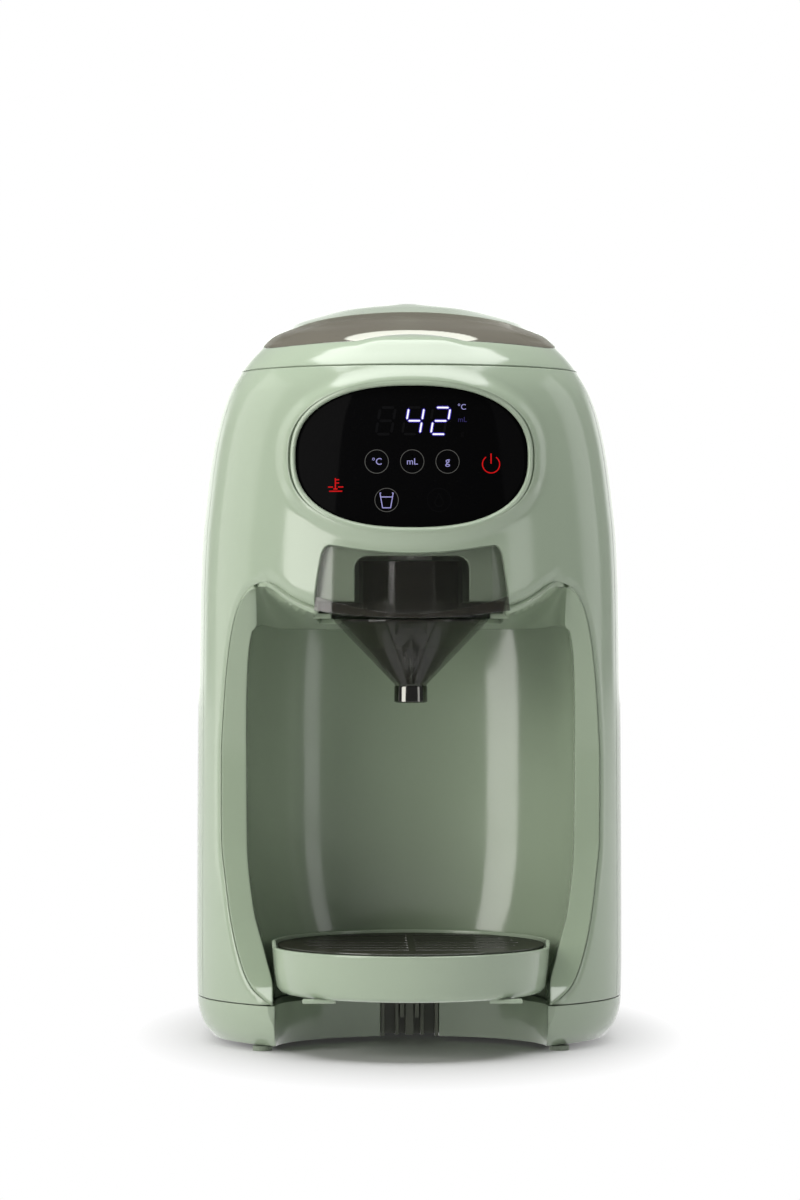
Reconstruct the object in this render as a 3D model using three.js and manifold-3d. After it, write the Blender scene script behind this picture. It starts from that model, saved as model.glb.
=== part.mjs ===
// A countertop baby formula maker: a green shell with a bottle bay, a powder hopper under a dome lid,
// a pull-out funnel, a lift-off drip tray and a water tank at the back.
// Millimetres, +Z up, front towards -Y, origin on the counter at the middle of the footprint.
import * as THREE from "three";
import { mergeVertices } from "three/addons/utils/BufferGeometryUtils.js";
import Module from "manifold-3d";

const wasm = await Module();
wasm.setup();

// Overall size, walls and fits
const WIDTH = 200;
const DEPTH = 300;
const HEIGHT = 351.5;
const SHELL_WALL = 2.6;
const SEAT_GAP = 0.3; // between pieces that touch
const SLIDE_GAP = 0.6; // beside pieces that slide or turn
const OVERRUN = 4; // how far a cut runs past what it cuts
const WELD = 1e-4; // points closer than this are one point

// Outline of the body: height, half width, front, rear and widest line, as shares of HEIGHT,
// WIDTH / 2 and DEPTH (the last three), from the underside up to the crown
const bodyShares = [
  [0.007, 0.92, -0.385, 0.47, -0.127],
  [0.026, 0.972, -0.4, 0.49, -0.127],
  [0.055, 0.996, -0.41, 0.499, -0.127],
  [0.12, 1, -0.4133, 0.5, -0.127],
  [0.589, 0.99, -0.4133, 0.5, -0.127],
  [0.669, 0.979, -0.4133, 0.5, -0.127],
  [0.723, 0.96, -0.412, 0.499, -0.127],
  [0.777, 0.936, -0.408, 0.497, -0.127],
  [0.831, 0.896, -0.402, 0.491, -0.127],
  [0.862, 0.858, -0.394, 0.485, -0.127],
  [0.891, 0.802, -0.38, 0.473, -0.12],
  [0.91, 0.755, -0.363, 0.46, -0.11],
  [0.925, 0.71, -0.342, 0.447, -0.095],
  [0.933, 0.69, -0.303, 0.437, -0.07],
  [0.944, 0.66, -0.245, 0.42, -0.035],
  [0.9585, 0.593, -0.155, 0.39, 0.027],
  [0.97, 0.535, -0.078, 0.355, 0.053],
  [0.982, 0.42, -0.005, 0.298, 0.08],
  [0.993, 0.265, 0.06, 0.225, 0.102],
  [1, 0.06, 0.105, 0.14, 0.117],
];
// Power of the cosine and sine along an outline: 1 makes an ellipse, less makes it squarer
const FRONT_CURVE_SHARE = 1; // ahead of the widest line
const REAR_CURVE_SHARE = 0.625; // behind it
const BODY_SIDES = 32;
const DOME_START_SHARE = 0.85; // of HEIGHT, above which a wall is measured more and more from the top
const DOME_FULL_SHARE = 0.93;
const DOME_SIDE_SHARE = 0.4; // of the wall that still comes off the sides under the crown

// Places that several pieces share
const [, , FRONT_SHARE, , MIDDLE_SHARE] = bodyShares[3];
const WIDEST_Y = MIDDLE_SHARE * DEPTH;
const HEAD_FRONT_Y = FRONT_SHARE * DEPTH;
const HEAD_REACH = WIDEST_Y - HEAD_FRONT_Y;
const SEAM_SETBACK = 22; // of the front shell's rear edge, ahead of the widest line
const SEAM_Y = WIDEST_Y - SEAM_SETBACK;
const LID_HEIGHT = 37.5;
const LID_SEAM_Z = HEIGHT - LID_HEIGHT;
const BASE_TOP_Z = 21.7;
const BASE_BOTTOM_Z = bodyShares[0][0] * HEIGHT;

// Display panel in the head
const PANEL_HALF = 52;
const PANEL_HALF_HEIGHT = 31.8;
const PANEL_DROP = 42; // of its middle under the lid's seam
const PANEL_Z = LID_SEAM_Z - PANEL_DROP;
const PANEL_CURVE_SHARE = 0.74;
const PANEL_RIM = 2.3;
const LENS_THICK = 2.2;
const LENS_SETBACK = 0.5;
const DISPLAY_THICK = 4;
const DISPLAY_MARGIN = 12; // of the display inside the panel's edge, beside and above it
const BOARD_THICK = 1.6;
const BOARD_SETBACK = 21.6; // of the board's rear face behind the head's front
const BOARD_Y = HEAD_FRONT_Y + BOARD_SETBACK;

// Funnel drawer: plate on the head's front, flange on rails, cone and mixing core
const FUNNEL_SETBACK = 41; // of the funnel's axis behind the head's front
const FUNNEL_Y = HEAD_FRONT_Y + FUNNEL_SETBACK;
const HOLDER_DROP = 8.2; // of the holder's top under the panel's edge
const HOLDER_TOP_Z = PANEL_Z - PANEL_HALF_HEIGHT - HOLDER_DROP;
const HOLDER_HEIGHT = 33.3;
const HOLDER_BOTTOM_Z = HOLDER_TOP_Z - HOLDER_HEIGHT;
const HOLDER_TOP_HALF = 37;
const HOLDER_FLARE = 8;
const HOLDER_BOTTOM_HALF = HOLDER_TOP_HALF + HOLDER_FLARE;
const HOLDER_CORNER = 6;
const HOLDER_THICK = 3;
const FLANGE_THICK = 7;
const FLANGE_INSET = 3; // of the flange's sides inside the holder's lower corners
const FLANGE_HALF = HOLDER_BOTTOM_HALF - FLANGE_INSET;
const COLLAR_RADIUS = 24;
const COLLAR_WALL = 2;
const COLLAR_DROP = 7; // of the collar's top under the holder's top
const COLLAR_TOP_Z = HOLDER_TOP_Z - COLLAR_DROP;
const FUNNEL_INSET = 6.5; // of the funnel inside the flange's sides
const FUNNEL_RADIUS = FLANGE_HALF - FUNNEL_INSET;
const FUNNEL_WALL = 1.6;
const CONE_HEIGHT = 31;
const SPOUT_RADIUS = 7.2;
const SPOUT_LENGTH = 8;
const SPOUT_TOP_Z = HOLDER_BOTTOM_Z - CONE_HEIGHT;
const SPOUT_BOTTOM_Z = SPOUT_TOP_Z - SPOUT_LENGTH;
const CORE_HEIGHT = 26.3; // of the mixing core's top above the spout
const CORE_RADIUS = 9.5;
// Height and radius of the mixing core, as shares of CORE_HEIGHT and of CORE_RADIUS
const coreShares = [
  [0.03, 0.42],
  [0.3, 0.72],
  [0.56, 0.74],
  [0.64, 0.54],
  [0.74, 1],
  [0.8, 0.95],
  [1, 0.5],
];
const CORE_FIN = 1.2;
const GUIDE_WALL = 2.5;
const GUIDE_DROP = 3; // of the channel's ceiling under the holder's top
const GUIDE_TOP_Z = HOLDER_TOP_Z - GUIDE_DROP;
const GUIDE_LEDGE = 6;
const GUIDE_FLANGE = 6;
const CUTOUT_HALF = 26;
const CUTOUT_DROP = 5; // of the cut-out's top under the holder's top
const CUTOUT_TOP_Z = HOLDER_TOP_Z - CUTOUT_DROP;

// Powder side: deck, dosing wheel and its drive, hopper, chute
const DECK_RISE = 4; // above the holder's top
const DECK_Z = HOLDER_TOP_Z + DECK_RISE;
const DECK_THICK = 3;
const POCKETS = 6;
const POCKET_RADIUS = 8;
const POCKET_RING = 38;
const FEED_RADIUS = 8;
const FEED_OFFSET = 13; // of the powder's feed behind the funnel's axis
const FEED_Y = FUNNEL_Y + FEED_OFFSET;
const WHEEL_Y = FEED_Y + POCKET_RING;
const GEAR_MODULE = 2.5;
const WHEEL_TEETH = 40;
const PINION_TEETH = 8;
const PINION_Y = WHEEL_Y + ((WHEEL_TEETH + PINION_TEETH) * GEAR_MODULE) / 2;
const GEAR_THICK = 7.5;
const TOOTH_OUT = 1.2; // addendum
const TOOTH_IN = 2.4; // dedendum
const ROOT_SHARE = 0.3; // half a tooth's width at its root, of the pitch
const TIP_SHARE = 0.11;
const PINION_TIP = (PINION_TEETH * GEAR_MODULE) / 2 + TOOTH_OUT;
const GEAR_BOTTOM_Z = DECK_Z + DECK_THICK + SLIDE_GAP;
const GEAR_TOP_Z = GEAR_BOTTOM_Z + GEAR_THICK;
const SHAFT_RADIUS = 4;
const HOPPER_RADIUS = 60;
const HOPPER_WALL = 2.5;
const HOPPER_FLOOR_Z = GEAR_TOP_Z + SLIDE_GAP;
const SEAL_WIDTH = 5;
const SEAL_THICK = 2.4;
const HOPPER_TOP_Z = LID_SEAM_Z - SEAL_THICK - SEAT_GAP;
const SURROUND_THICK = 2.3;
const PADDLE_REACH = 48;
const PADDLE_HEIGHT = 6;
const PADDLE_THICK = 2.4;
const PADDLE_Z = HOPPER_FLOOR_Z + HOPPER_WALL + SLIDE_GAP;
const HUB_RADIUS = 8;
const HUB_HEIGHT = 12;
const CHUTE_WALL = 2;
const CHUTE_FLANGE = 3;
const MOTOR_RADIUS = 15;
const MOTOR_LENGTH = 52;
const MOTOR_FLANGE = 3.4;
const PINION_SHAFT = 3;

// Wall between the works and the tank, and the heel under the tank
const BACK_ROOM = 30; // behind the pinion's axis
const BACK_Y = PINION_Y + BACK_ROOM;
const HEEL_TOP_Z = 44;

// Bottle bay: its edge from the side, as shares of the reach ahead of the widest line and of the
// bay's height
const BAY_CORNER_RISE = 18.3; // of the bay's corner above the holder's bottom
const BAY_CORNER_Z = HOLDER_BOTTOM_Z + BAY_CORNER_RISE;
const bayEdgeShares = [
  [0.756, 0],
  [0.667, 0.041],
  [0.602, 0.108],
  [0.55, 0.185],
  [0.508, 0.277],
  [0.467, 0.39],
  [0.462, 0.569],
  [0.481, 0.697],
  [0.512, 0.81],
  [0.558, 0.903],
  [0.64, 0.974],
];
const bayLipShares = [
  [0.721, 1],
  [0.86, 0.935],
  [1, 0.903],
  [1.7, 0.85],
];
const BAY_CORNER_Y = WIDEST_Y - bayLipShares[0][0] * HEAD_REACH;
const BAND_SETBACK = 0.8; // of the bay's band, behind the edge of the shell
const LINER_WALL = 2.4;
const WORKS_ROOM = 74; // between the bay's back and the wall ahead of the tank
const BAY_BACK_Y = BACK_Y - WORKS_ROOM;
const BAY_DEPTH = 62; // from the back of the bay to where its sides run straight
const BAY_TOP_DROP = 3.2; // of the bay's ceiling under the holder's bottom
const BAY_TOP_Z = HOLDER_BOTTOM_Z - BAY_TOP_DROP;
const BAY_CURVE_SHARE = 0.87;
const BAY_SIDES = 28;
// Height between the base and the ceiling, and half width, as shares
const bayShares = [
  [-0.05, 0.845],
  [0.15, 0.868],
  [0.31, 0.934],
  [0.5, 0.993],
  [0.74, 1],
  [0.88, 0.974],
  [0.95, 0.908],
  [0.985, 0.822],
  [1, 0.71],
];

// Drip tray, from the front of the machine back towards the bay's back, and the bay's width around it
const TRAY_REAR_GAP = 6;
const TRAY_RADIUS = (BAY_BACK_Y - TRAY_REAR_GAP + DEPTH / 2) / 2;
const TRAY_Y = TRAY_RADIUS - DEPTH / 2;
const TRAY_SIDE_GAP = 12;
const BAY_HALF = TRAY_RADIUS + TRAY_SIDE_GAP;
const TRAY_TAPER = 1.8;
const TRAY_FOOT_RADIUS = TRAY_RADIUS - TRAY_TAPER;
const TRAY_RISE = 5.3; // above the base
const TRAY_BOTTOM_Z = BASE_TOP_Z + TRAY_RISE;
const TRAY_HEIGHT = 21;
const TRAY_FRONT_Z = TRAY_BOTTOM_Z + TRAY_HEIGHT;
const TRAY_RIM_RISE = 2.5;
const TRAY_TOP_Z = TRAY_FRONT_Z + TRAY_RIM_RISE;
const TRAY_WALL = 2;
const TRAY_STEP = 3;
const TAB_INSET = 22; // of the tabs' middles inside the tray's radius
const TAB_X = TRAY_RADIUS - TAB_INSET;
const TAB_HALF = 7.5;
const TAB_HEIGHT = 1.5;
const TAB_DEPTH = 6;
const COVER_THICK = 2.2;
const COVER_Z = TRAY_FRONT_Z - COVER_THICK - SEAT_GAP;
const COVER_RADIUS = TRAY_RADIUS - TRAY_WALL - SLIDE_GAP;
const SLOT_WIDTH = 3;
const SLOT_PITCH = 14;
const SLOT_COUNT = 7;
const SLOT_MARGIN = 12;

// Base, its feet and screws, the arch under the tray and the recess that the tray hooks into
const BASE_TIP_SETBACK = 22; // of the base's tips behind the head's front
const BASE_TIP_Y = HEAD_FRONT_Y + BASE_TIP_SETBACK;
const ARCH_INSET = 37.5; // of the arch's sides inside the machine's sides
const ARCH_HALF = WIDTH / 2 - ARCH_INSET;
const ARCH_DEPTH = 52;
const RECESS_HALF = 13.75;
const RECESS_DEPTH = 16;
const RECESS_BACK_Y = BASE_TIP_Y + ARCH_DEPTH + RECESS_DEPTH;
const BASE_DECK = 3;
const PLATE_THICK = 2.5;
const PLATE_GAP = 0.4;
const FOOT_HEIGHT = BASE_BOTTOM_Z - SEAT_GAP;
const FRONT_FOOT_RADIUS = 4.6;
const FRONT_FOOT_OFFSET = 5.7; // outside the arch's sides
const FRONT_FOOT_X = ARCH_HALF + FRONT_FOOT_OFFSET;
const FRONT_FOOT_INSET = 14; // behind the tips of the base
const REAR_FOOT_RADIUS = 8;
const REAR_FOOT_INSET = 34; // from the machine's sides
const REAR_FOOT_X = WIDTH / 2 - REAR_FOOT_INSET;
const REAR_FOOT_SETBACK = 46; // from the machine's rear
const REAR_FOOT_Y = DEPTH / 2 - REAR_FOOT_SETBACK;
const SCREW_RADIUS = 1.4;
const SCREW_HEAD_RADIUS = 3;
const SCREW_HEAD = 1.2;
const BOSS_RADIUS = 4;
const SCREW_INSET = 22; // from the machine's sides
const SCREW_X = WIDTH / 2 - SCREW_INSET;
const SCREW_FRONT_Y = BASE_TIP_Y + ARCH_DEPTH;
const SCREW_SETBACK = 86; // from the machine's rear
const SCREW_REAR_Y = DEPTH / 2 - SCREW_SETBACK;
const BRACKET_HALF = 20;
const BRACKET_REACH = 10; // behind the recess
const TONGUE_X = 3.5;
const TONGUE_WIDTH = 2;
const TONGUE_DEPTH = 8;
const TONGUE_LENGTH = 10.7;
const RIB_WIDTH = 1.6;

// Lid with its window, seal and hinge
const LID_WALL = 2.4;
const LID_SETBACK = 16; // of the lid's rear ahead of the wall before the tank
const LID_REAR_Y = BACK_Y - LID_SETBACK;
const HINGE_SETBACK = 11.5;
const HINGE_Y = BACK_Y - HINGE_SETBACK;
const HINGE_DROP = 7; // under the crown
const HINGE_Z = HEIGHT - HINGE_DROP;
const KNUCKLE_RADIUS = 3.5;
const PIN_RADIUS = 1.5;
const LID_KNUCKLE_HALF = 14;
const BODY_KNUCKLE_END = 24;
const WINDOW_INSET = 31.5; // of the window's sides inside the machine's sides
const WINDOW_HALF = WIDTH / 2 - WINDOW_INSET;
const WINDOW_SETBACK = 23; // of the window's front behind the head's front
const WINDOW_FRONT_Y = HEAD_FRONT_Y + WINDOW_SETBACK;
const WINDOW_OFFSET = 10; // of the window's widest line ahead of the hopper's axis
const WINDOW_MIDDLE_Y = WHEEL_Y - WINDOW_OFFSET;
const WINDOW_MARGIN = 42; // between the window and the lid's rear
const WINDOW_REAR_Y = LID_REAR_Y - WINDOW_MARGIN;
const WINDOW_LIP = 3;
const NOTCH_HALF = 22;
const NOTCH_DEPTH = 14;
const LEDGE_THICK = 2.6;

// Water side: tank, lid, valve, float, socket
const TANK_WALL = 2.2;
const TANK_DROP = 2; // of the tank's rim under the lid's seam
const TANK_TOP_Z = LID_SEAM_Z - TANK_DROP;
const TANK_FRONT_Y = BACK_Y + SLIDE_GAP;
const TANK_BOTTOM_Z = HEEL_TOP_Z + SLIDE_GAP;
const TANK_FLOOR_Z = TANK_BOTTOM_Z + TANK_WALL;
const TANK_LID_SKIRT = 6;
const OUTLET_Y = (BACK_Y + DEPTH / 2) / 2;
const OUTLET_RADIUS = 6;
const OUTLET_WALL = 2;
const OUTLET_LENGTH = 6.6;
const VALVE_LIFT = 3;
const VALVE_RADIUS = 9;
const VALVE_THICK = 2;
const STEM_RADIUS = 2.4;
const CAGE_RADIUS = 14;
const CAGE_WALL = 1.5;
const CAGE_HEIGHT = 16;
const SPRING_RADIUS = 6.5;
const SPRING_WIRE = 0.7;
const SPRING_TURNS = 4;
const SOCKET_RADIUS = 10.2;
const SOCKET_WALL = 2;
const SOCKET_DEPTH = 13.7;
const SOCKET_FLANGE = 5;
const SOCKET_BARB = 8;
const FLOAT_INSET = 42; // from the machine's side
const FLOAT_X = WIDTH / 2 - FLOAT_INSET;
const FLOAT_OFFSET = 8; // ahead of the outlet
const FLOAT_Y = OUTLET_Y - FLOAT_OFFSET;
const FLOAT_RADIUS = 12;
const FLOAT_HEIGHT = 18;
const FLOAT_TRAVEL = 20;
const FLOAT_FOOT = 3;

// Pump, heater, hoses and power
const MOUNT_THICK = 4;
const MOUNT_Z = BASE_TOP_Z + SEAT_GAP;
const BARB_RADIUS = 2.6;
const BARB_LENGTH = 6;
const BARB_Z = MOUNT_Z + MOUNT_THICK + BARB_LENGTH;
const POWER_BOARD_INSET = 22; // from the machine's side
const POWER_BOARD_X = POWER_BOARD_INSET - WIDTH / 2;
const POWER_BOARD_HEIGHT = 98;
const POWER_BOARD_DEPTH = 48;
// Places and depths of the blocks on the power board, as shares of a quarter of its depth
const blockShares = [
  [1, 1, 1.4],
  [2.6, 1.2, 1],
  [1.2, 4, 0.8],
  [2.6, 4.4, 1.1],
];
const PUMP_OFFSET = 33; // of the pump's axis from the power board
const PUMP_X = POWER_BOARD_X + PUMP_OFFSET;
const PUMP_SETBACK = 34; // behind the bay's back
const PUMP_Y = BAY_BACK_Y + PUMP_SETBACK;
const PUMP_RADIUS = 17;
const PUMP_HEIGHT = 44;
const HEATER_INSET = 52; // from the machine's side
const HEATER_X = WIDTH / 2 - HEATER_INSET;
const HEATER_SETBACK = 36; // behind the bay's back
const HEATER_Y = BAY_BACK_Y + HEATER_SETBACK;
const HEATER_RADIUS = 15;
const HEATER_HEIGHT = 90;
const THERMOSTAT_RADIUS = 6;
const THERMOSTAT_THICK = 4;
const HOSE_RADIUS = 3.4;
const HOSE_ROOM = 8; // of the upright hose outside the hopper
const HOSE_BEND_X = HOPPER_RADIUS + HOSE_ROOM;
const HOSE_SETBACK = 32; // of the upright hose behind the hopper's axis
const HOSE_BEND_Y = WHEEL_Y + HOSE_SETBACK;
const NOZZLE_OFFSET = 14; // ahead of the funnel's axis
const NOZZLE_Y = FUNNEL_Y - NOZZLE_OFFSET;
const NOZZLE_HALF = 3.5;
const NOZZLE_RADIUS = 2.5;
const INLET_INSET = 45; // from the machine's side
const INLET_X = INLET_INSET - WIDTH / 2;
const INLET_HALF = 11;
const INLET_HEIGHT = 13;
const INLET_DEPTH = 20;
const INLET_PIN = 1.2;

// Solids from three.js geometry
function solid(geometry) {
  const plain = geometry.clone();
  for (const name of Object.keys(plain.attributes)) {
    if (name !== "position") plain.deleteAttribute(name);
  }
  const merged = mergeVertices(plain, WELD);
  return new wasm.Manifold(
    new wasm.Mesh({
      numProp: 3,
      vertProperties: merged.attributes.position.array,
      triVerts: new Uint32Array(merged.index.array),
    }),
  );
}

function box(x0, x1, y0, y1, z0, z1) {
  const geometry = new THREE.BoxGeometry(x1 - x0, y1 - y0, z1 - z0);
  return solid(geometry.translate((x0 + x1) / 2, (y0 + y1) / 2, (z0 + z1) / 2));
}

// A post along Z with a radius at its foot and, if it tapers, another at its top
function post(x, y, z0, z1, radius, sides = 24, topRadius = radius) {
  const geometry = new THREE.CylinderGeometry(topRadius, radius, z1 - z0, sides);
  geometry.rotateX(Math.PI / 2);
  return solid(geometry.translate(x, y, (z0 + z1) / 2));
}

function rodAlongX(x0, x1, y, z, radius, sides = 16) {
  const geometry = new THREE.CylinderGeometry(radius, radius, x1 - x0, sides);
  geometry.rotateZ(Math.PI / 2);
  return solid(geometry.translate((x0 + x1) / 2, y, z));
}

function rodAlongY(y0, y1, x, z, radius, sides = 16) {
  const geometry = new THREE.CylinderGeometry(radius, radius, y1 - y0, sides);
  return solid(geometry.translate(x, (y0 + y1) / 2, z));
}

function spun(profile, x, y, sides = 32) {
  const points = profile.map(([radius, height]) => new THREE.Vector2(radius, height));
  const geometry = new THREE.LatheGeometry(points, sides);
  geometry.rotateX(Math.PI / 2);
  return solid(geometry.translate(x, y, 0));
}

function ring(x, y, z0, z1, inner, outer, sides = 32) {
  const profile = [[inner, z0], [outer, z0], [outer, z1], [inner, z1], [inner, z0]];
  return spun(profile, x, y, sides);
}

// A flat outline pushed through from one place to another along an axis
function prism(shape, axis, from, to, curveSteps = 12) {
  const geometry = new THREE.ExtrudeGeometry(shape, {
    depth: to - from,
    bevelEnabled: false,
    curveSegments: curveSteps,
  });
  geometry.translate(0, 0, from);
  const x = new THREE.Vector3(1, 0, 0);
  const y = new THREE.Vector3(0, 1, 0);
  const z = new THREE.Vector3(0, 0, 1);
  const turn = new THREE.Matrix4();
  if (axis === "x") turn.makeBasis(y, z, x);
  if (axis === "y") turn.makeBasis(z, x, y);
  return solid(geometry.applyMatrix4(turn));
}

// Rings of points, one above another, joined into one closed skin
function loft(rings) {
  const sides = rings[0].length;
  const points = rings.flat();
  const faces = [];
  for (let level = 0; level < rings.length - 1; level++) {
    for (let i = 0; i < sides; i++) {
      const a = level * sides + i;
      const b = level * sides + ((i + 1) % sides);
      faces.push(a, b, b + sides, a, b + sides, a + sides);
    }
  }
  const last = (rings.length - 1) * sides;
  for (let i = 1; i < sides - 1; i++) {
    faces.push(0, i + 1, i);
    faces.push(last, last + i, last + i + 1);
  }
  const geometry = new THREE.BufferGeometry();
  geometry.setAttribute("position", new THREE.Float32BufferAttribute(points.flat(), 3));
  geometry.setIndex(faces);
  return solid(geometry);
}

function signedPower(value, power) {
  return Math.sign(value) * Math.abs(value) ** power;
}

// The body's outer skin, or the skin that lies a wall further in
const bodies = new Map();
function body(inset) {
  if (bodies.has(inset)) return bodies.get(inset);
  const rings = bodyShares.map(([height, half, front, rear, middle]) => {
    const rise = (height - DOME_START_SHARE) / (DOME_FULL_SHARE - DOME_START_SHARE);
    const crown = Math.min(Math.max(rise, 0), 1);
    const side = inset * (1 - (1 - DOME_SIDE_SHARE) * crown);
    const halfWidth = Math.max((half * WIDTH) / 2 - side, inset);
    const middleY = middle * DEPTH;
    const frontReach = Math.max(middleY - front * DEPTH - side, inset);
    const rearReach = Math.max(rear * DEPTH - middleY - side, inset);
    const z = height * HEIGHT - inset * crown;
    return Array.from({ length: BODY_SIDES }, (_, i) => {
      const angle = (2 * Math.PI * i) / BODY_SIDES;
      const power = Math.sin(angle) < 0 ? FRONT_CURVE_SHARE : REAR_CURVE_SHARE;
      const reach = Math.sin(angle) < 0 ? frontReach : rearReach;
      const x = halfWidth * signedPower(Math.cos(angle), power);
      return [x, middleY + reach * signedPower(Math.sin(angle), power), z];
    });
  });
  bodies.set(inset, loft(rings));
  return bodies.get(inset);
}

const FAR_X = WIDTH / 2 + OVERRUN;
const FAR_Y = DEPTH / 2 + OVERRUN;
const FAR_Z = HEIGHT + OVERRUN;

// A slab of the whole footprint between two heights
function slab(z0, z1, y0 = -FAR_Y, y1 = FAR_Y) {
  return box(-FAR_X, FAR_X, y0, y1, z0, z1);
}

// Everything ahead of the bay's edge as seen from the side, moved back by a setback
function bayCut(setback) {
  const bayHeight = BAY_CORNER_Z - BASE_TOP_Z;
  const place = ([ahead, height]) =>
    new THREE.Vector2(WIDEST_Y - ahead * HEAD_REACH + setback, BASE_TOP_Z + height * bayHeight);
  const edge = bayEdgeShares.map(place);
  const lip = bayLipShares.map(place);
  const shape = new THREE.Shape();
  shape.moveTo(lip[3].x, BASE_TOP_Z - OVERRUN);
  shape.lineTo(edge[0].x, BASE_TOP_Z - OVERRUN);
  shape.lineTo(edge[0].x, edge[0].y);
  shape.splineThru(edge.slice(1));
  shape.lineTo(lip[0].x, lip[0].y + setback);
  shape.splineThru(lip.slice(1).map((point) => new THREE.Vector2(point.x, point.y + setback)));
  return prism(shape, "x", -FAR_X, FAR_X, 2);
}

// The bay itself, or the outside of its liner
function bayHollow(wall) {
  const middleY = BAY_BACK_Y - BAY_DEPTH;
  const height = BAY_TOP_Z - BASE_TOP_Z;
  const quarter = BAY_SIDES / 2;
  const rings = bayShares.map(([share, half]) => {
    const halfWidth = half * BAY_HALF + wall;
    const z = BASE_TOP_Z + share * height + (share === 1 ? wall : 0);
    const points = [];
    for (let i = 0; i <= quarter; i++) {
      const angle = (Math.PI * i) / quarter;
      const x = halfWidth * signedPower(Math.cos(angle), BAY_CURVE_SHARE);
      const y = middleY + (BAY_DEPTH + wall) * signedPower(Math.sin(angle), BAY_CURVE_SHARE);
      points.push([x, y, z]);
    }
    points.push([-halfWidth, -FAR_Y, z]);
    points.push([halfWidth, -FAR_Y, z]);
    return points;
  });
  return loft(rings);
}

// The arch under the tray, with the recess behind it, widened by a wall
function archCut(wall) {
  const shape = new THREE.Shape();
  shape.moveTo(ARCH_HALF + wall, -FAR_Y);
  shape.lineTo(ARCH_HALF + wall, BASE_TIP_Y);
  shape.absellipse(0, BASE_TIP_Y, ARCH_HALF + wall, ARCH_DEPTH + wall, 0, Math.PI, false);
  shape.lineTo(-ARCH_HALF - wall, -FAR_Y);
  const arch = prism(shape, "z", -OVERRUN, BASE_TOP_Z + OVERRUN, 16);
  const half = RECESS_HALF + wall;
  return arch.add(box(-half, half, BASE_TIP_Y, RECESS_BACK_Y + wall, -OVERRUN, BASE_TOP_Z + OVERRUN));
}

function rounded(x0, x1, y0, y1, radius) {
  const shape = new THREE.Shape();
  shape.moveTo(x0 + radius, y0);
  shape.lineTo(x1 - radius, y0);
  shape.absarc(x1 - radius, y0 + radius, radius, -Math.PI / 2, 0, false);
  shape.lineTo(x1, y1 - radius);
  shape.absarc(x1 - radius, y1 - radius, radius, 0, Math.PI / 2, false);
  shape.lineTo(x0 + radius, y1);
  shape.absarc(x0 + radius, y1 - radius, radius, Math.PI / 2, Math.PI, false);
  shape.lineTo(x0, y0 + radius);
  shape.absarc(x0 + radius, y0 + radius, radius, Math.PI, 1.5 * Math.PI, false);
  return shape;
}

// The funnel holder's front, seen from the front, widened by a gap
function holderFront(gap) {
  const top = HOLDER_TOP_Z + gap;
  const bottom = HOLDER_BOTTOM_Z - gap;
  const topHalf = HOLDER_TOP_HALF + gap;
  const bottomHalf = HOLDER_BOTTOM_HALF + gap;
  const shape = new THREE.Shape();
  shape.moveTo(-bottomHalf, bottom);
  shape.lineTo(bottomHalf, bottom);
  shape.lineTo(topHalf, top - HOLDER_CORNER);
  shape.quadraticCurveTo(topHalf, top, topHalf - HOLDER_CORNER, top);
  shape.quadraticCurveTo(0, top - HOLDER_CORNER, HOLDER_CORNER - topHalf, top);
  shape.quadraticCurveTo(-topHalf, top, -topHalf, top - HOLDER_CORNER);
  return shape;
}

function panelOutline(margin) {
  const points = Array.from({ length: BODY_SIDES }, (_, i) => {
    const angle = (2 * Math.PI * i) / BODY_SIDES;
    return new THREE.Vector2(
      (PANEL_HALF + margin) * signedPower(Math.cos(angle), PANEL_CURVE_SHARE),
      PANEL_Z + (PANEL_HALF_HEIGHT + margin) * signedPower(Math.sin(angle), PANEL_CURVE_SHARE),
    );
  });
  return new THREE.Shape(points);
}

// A front-facing outline pushed from the head's front back to the widest line. The outline's
// first axis runs to +X and its second to +Z, so it is pushed towards the front.
function frontPrism(shape, curveSteps = 8) {
  const geometry = new THREE.ExtrudeGeometry(shape, {
    depth: HEAD_REACH + OVERRUN,
    bevelEnabled: false,
    curveSegments: curveSteps,
  });
  geometry.rotateX(Math.PI / 2);
  return solid(geometry.translate(0, WIDEST_Y, 0));
}

function frontShell() {
  let shell = body(0).subtract(body(SHELL_WALL));
  shell = shell.intersect(slab(BASE_TOP_Z + SEAT_GAP, LID_SEAM_Z - SEAT_GAP, -FAR_Y, SEAM_Y));
  shell = shell.subtract(bayCut(0));
  shell = shell.subtract(frontPrism(holderFront(SLIDE_GAP)));
  return shell.subtract(frontPrism(panelOutline(PANEL_RIM + SEAT_GAP)));
}

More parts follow.
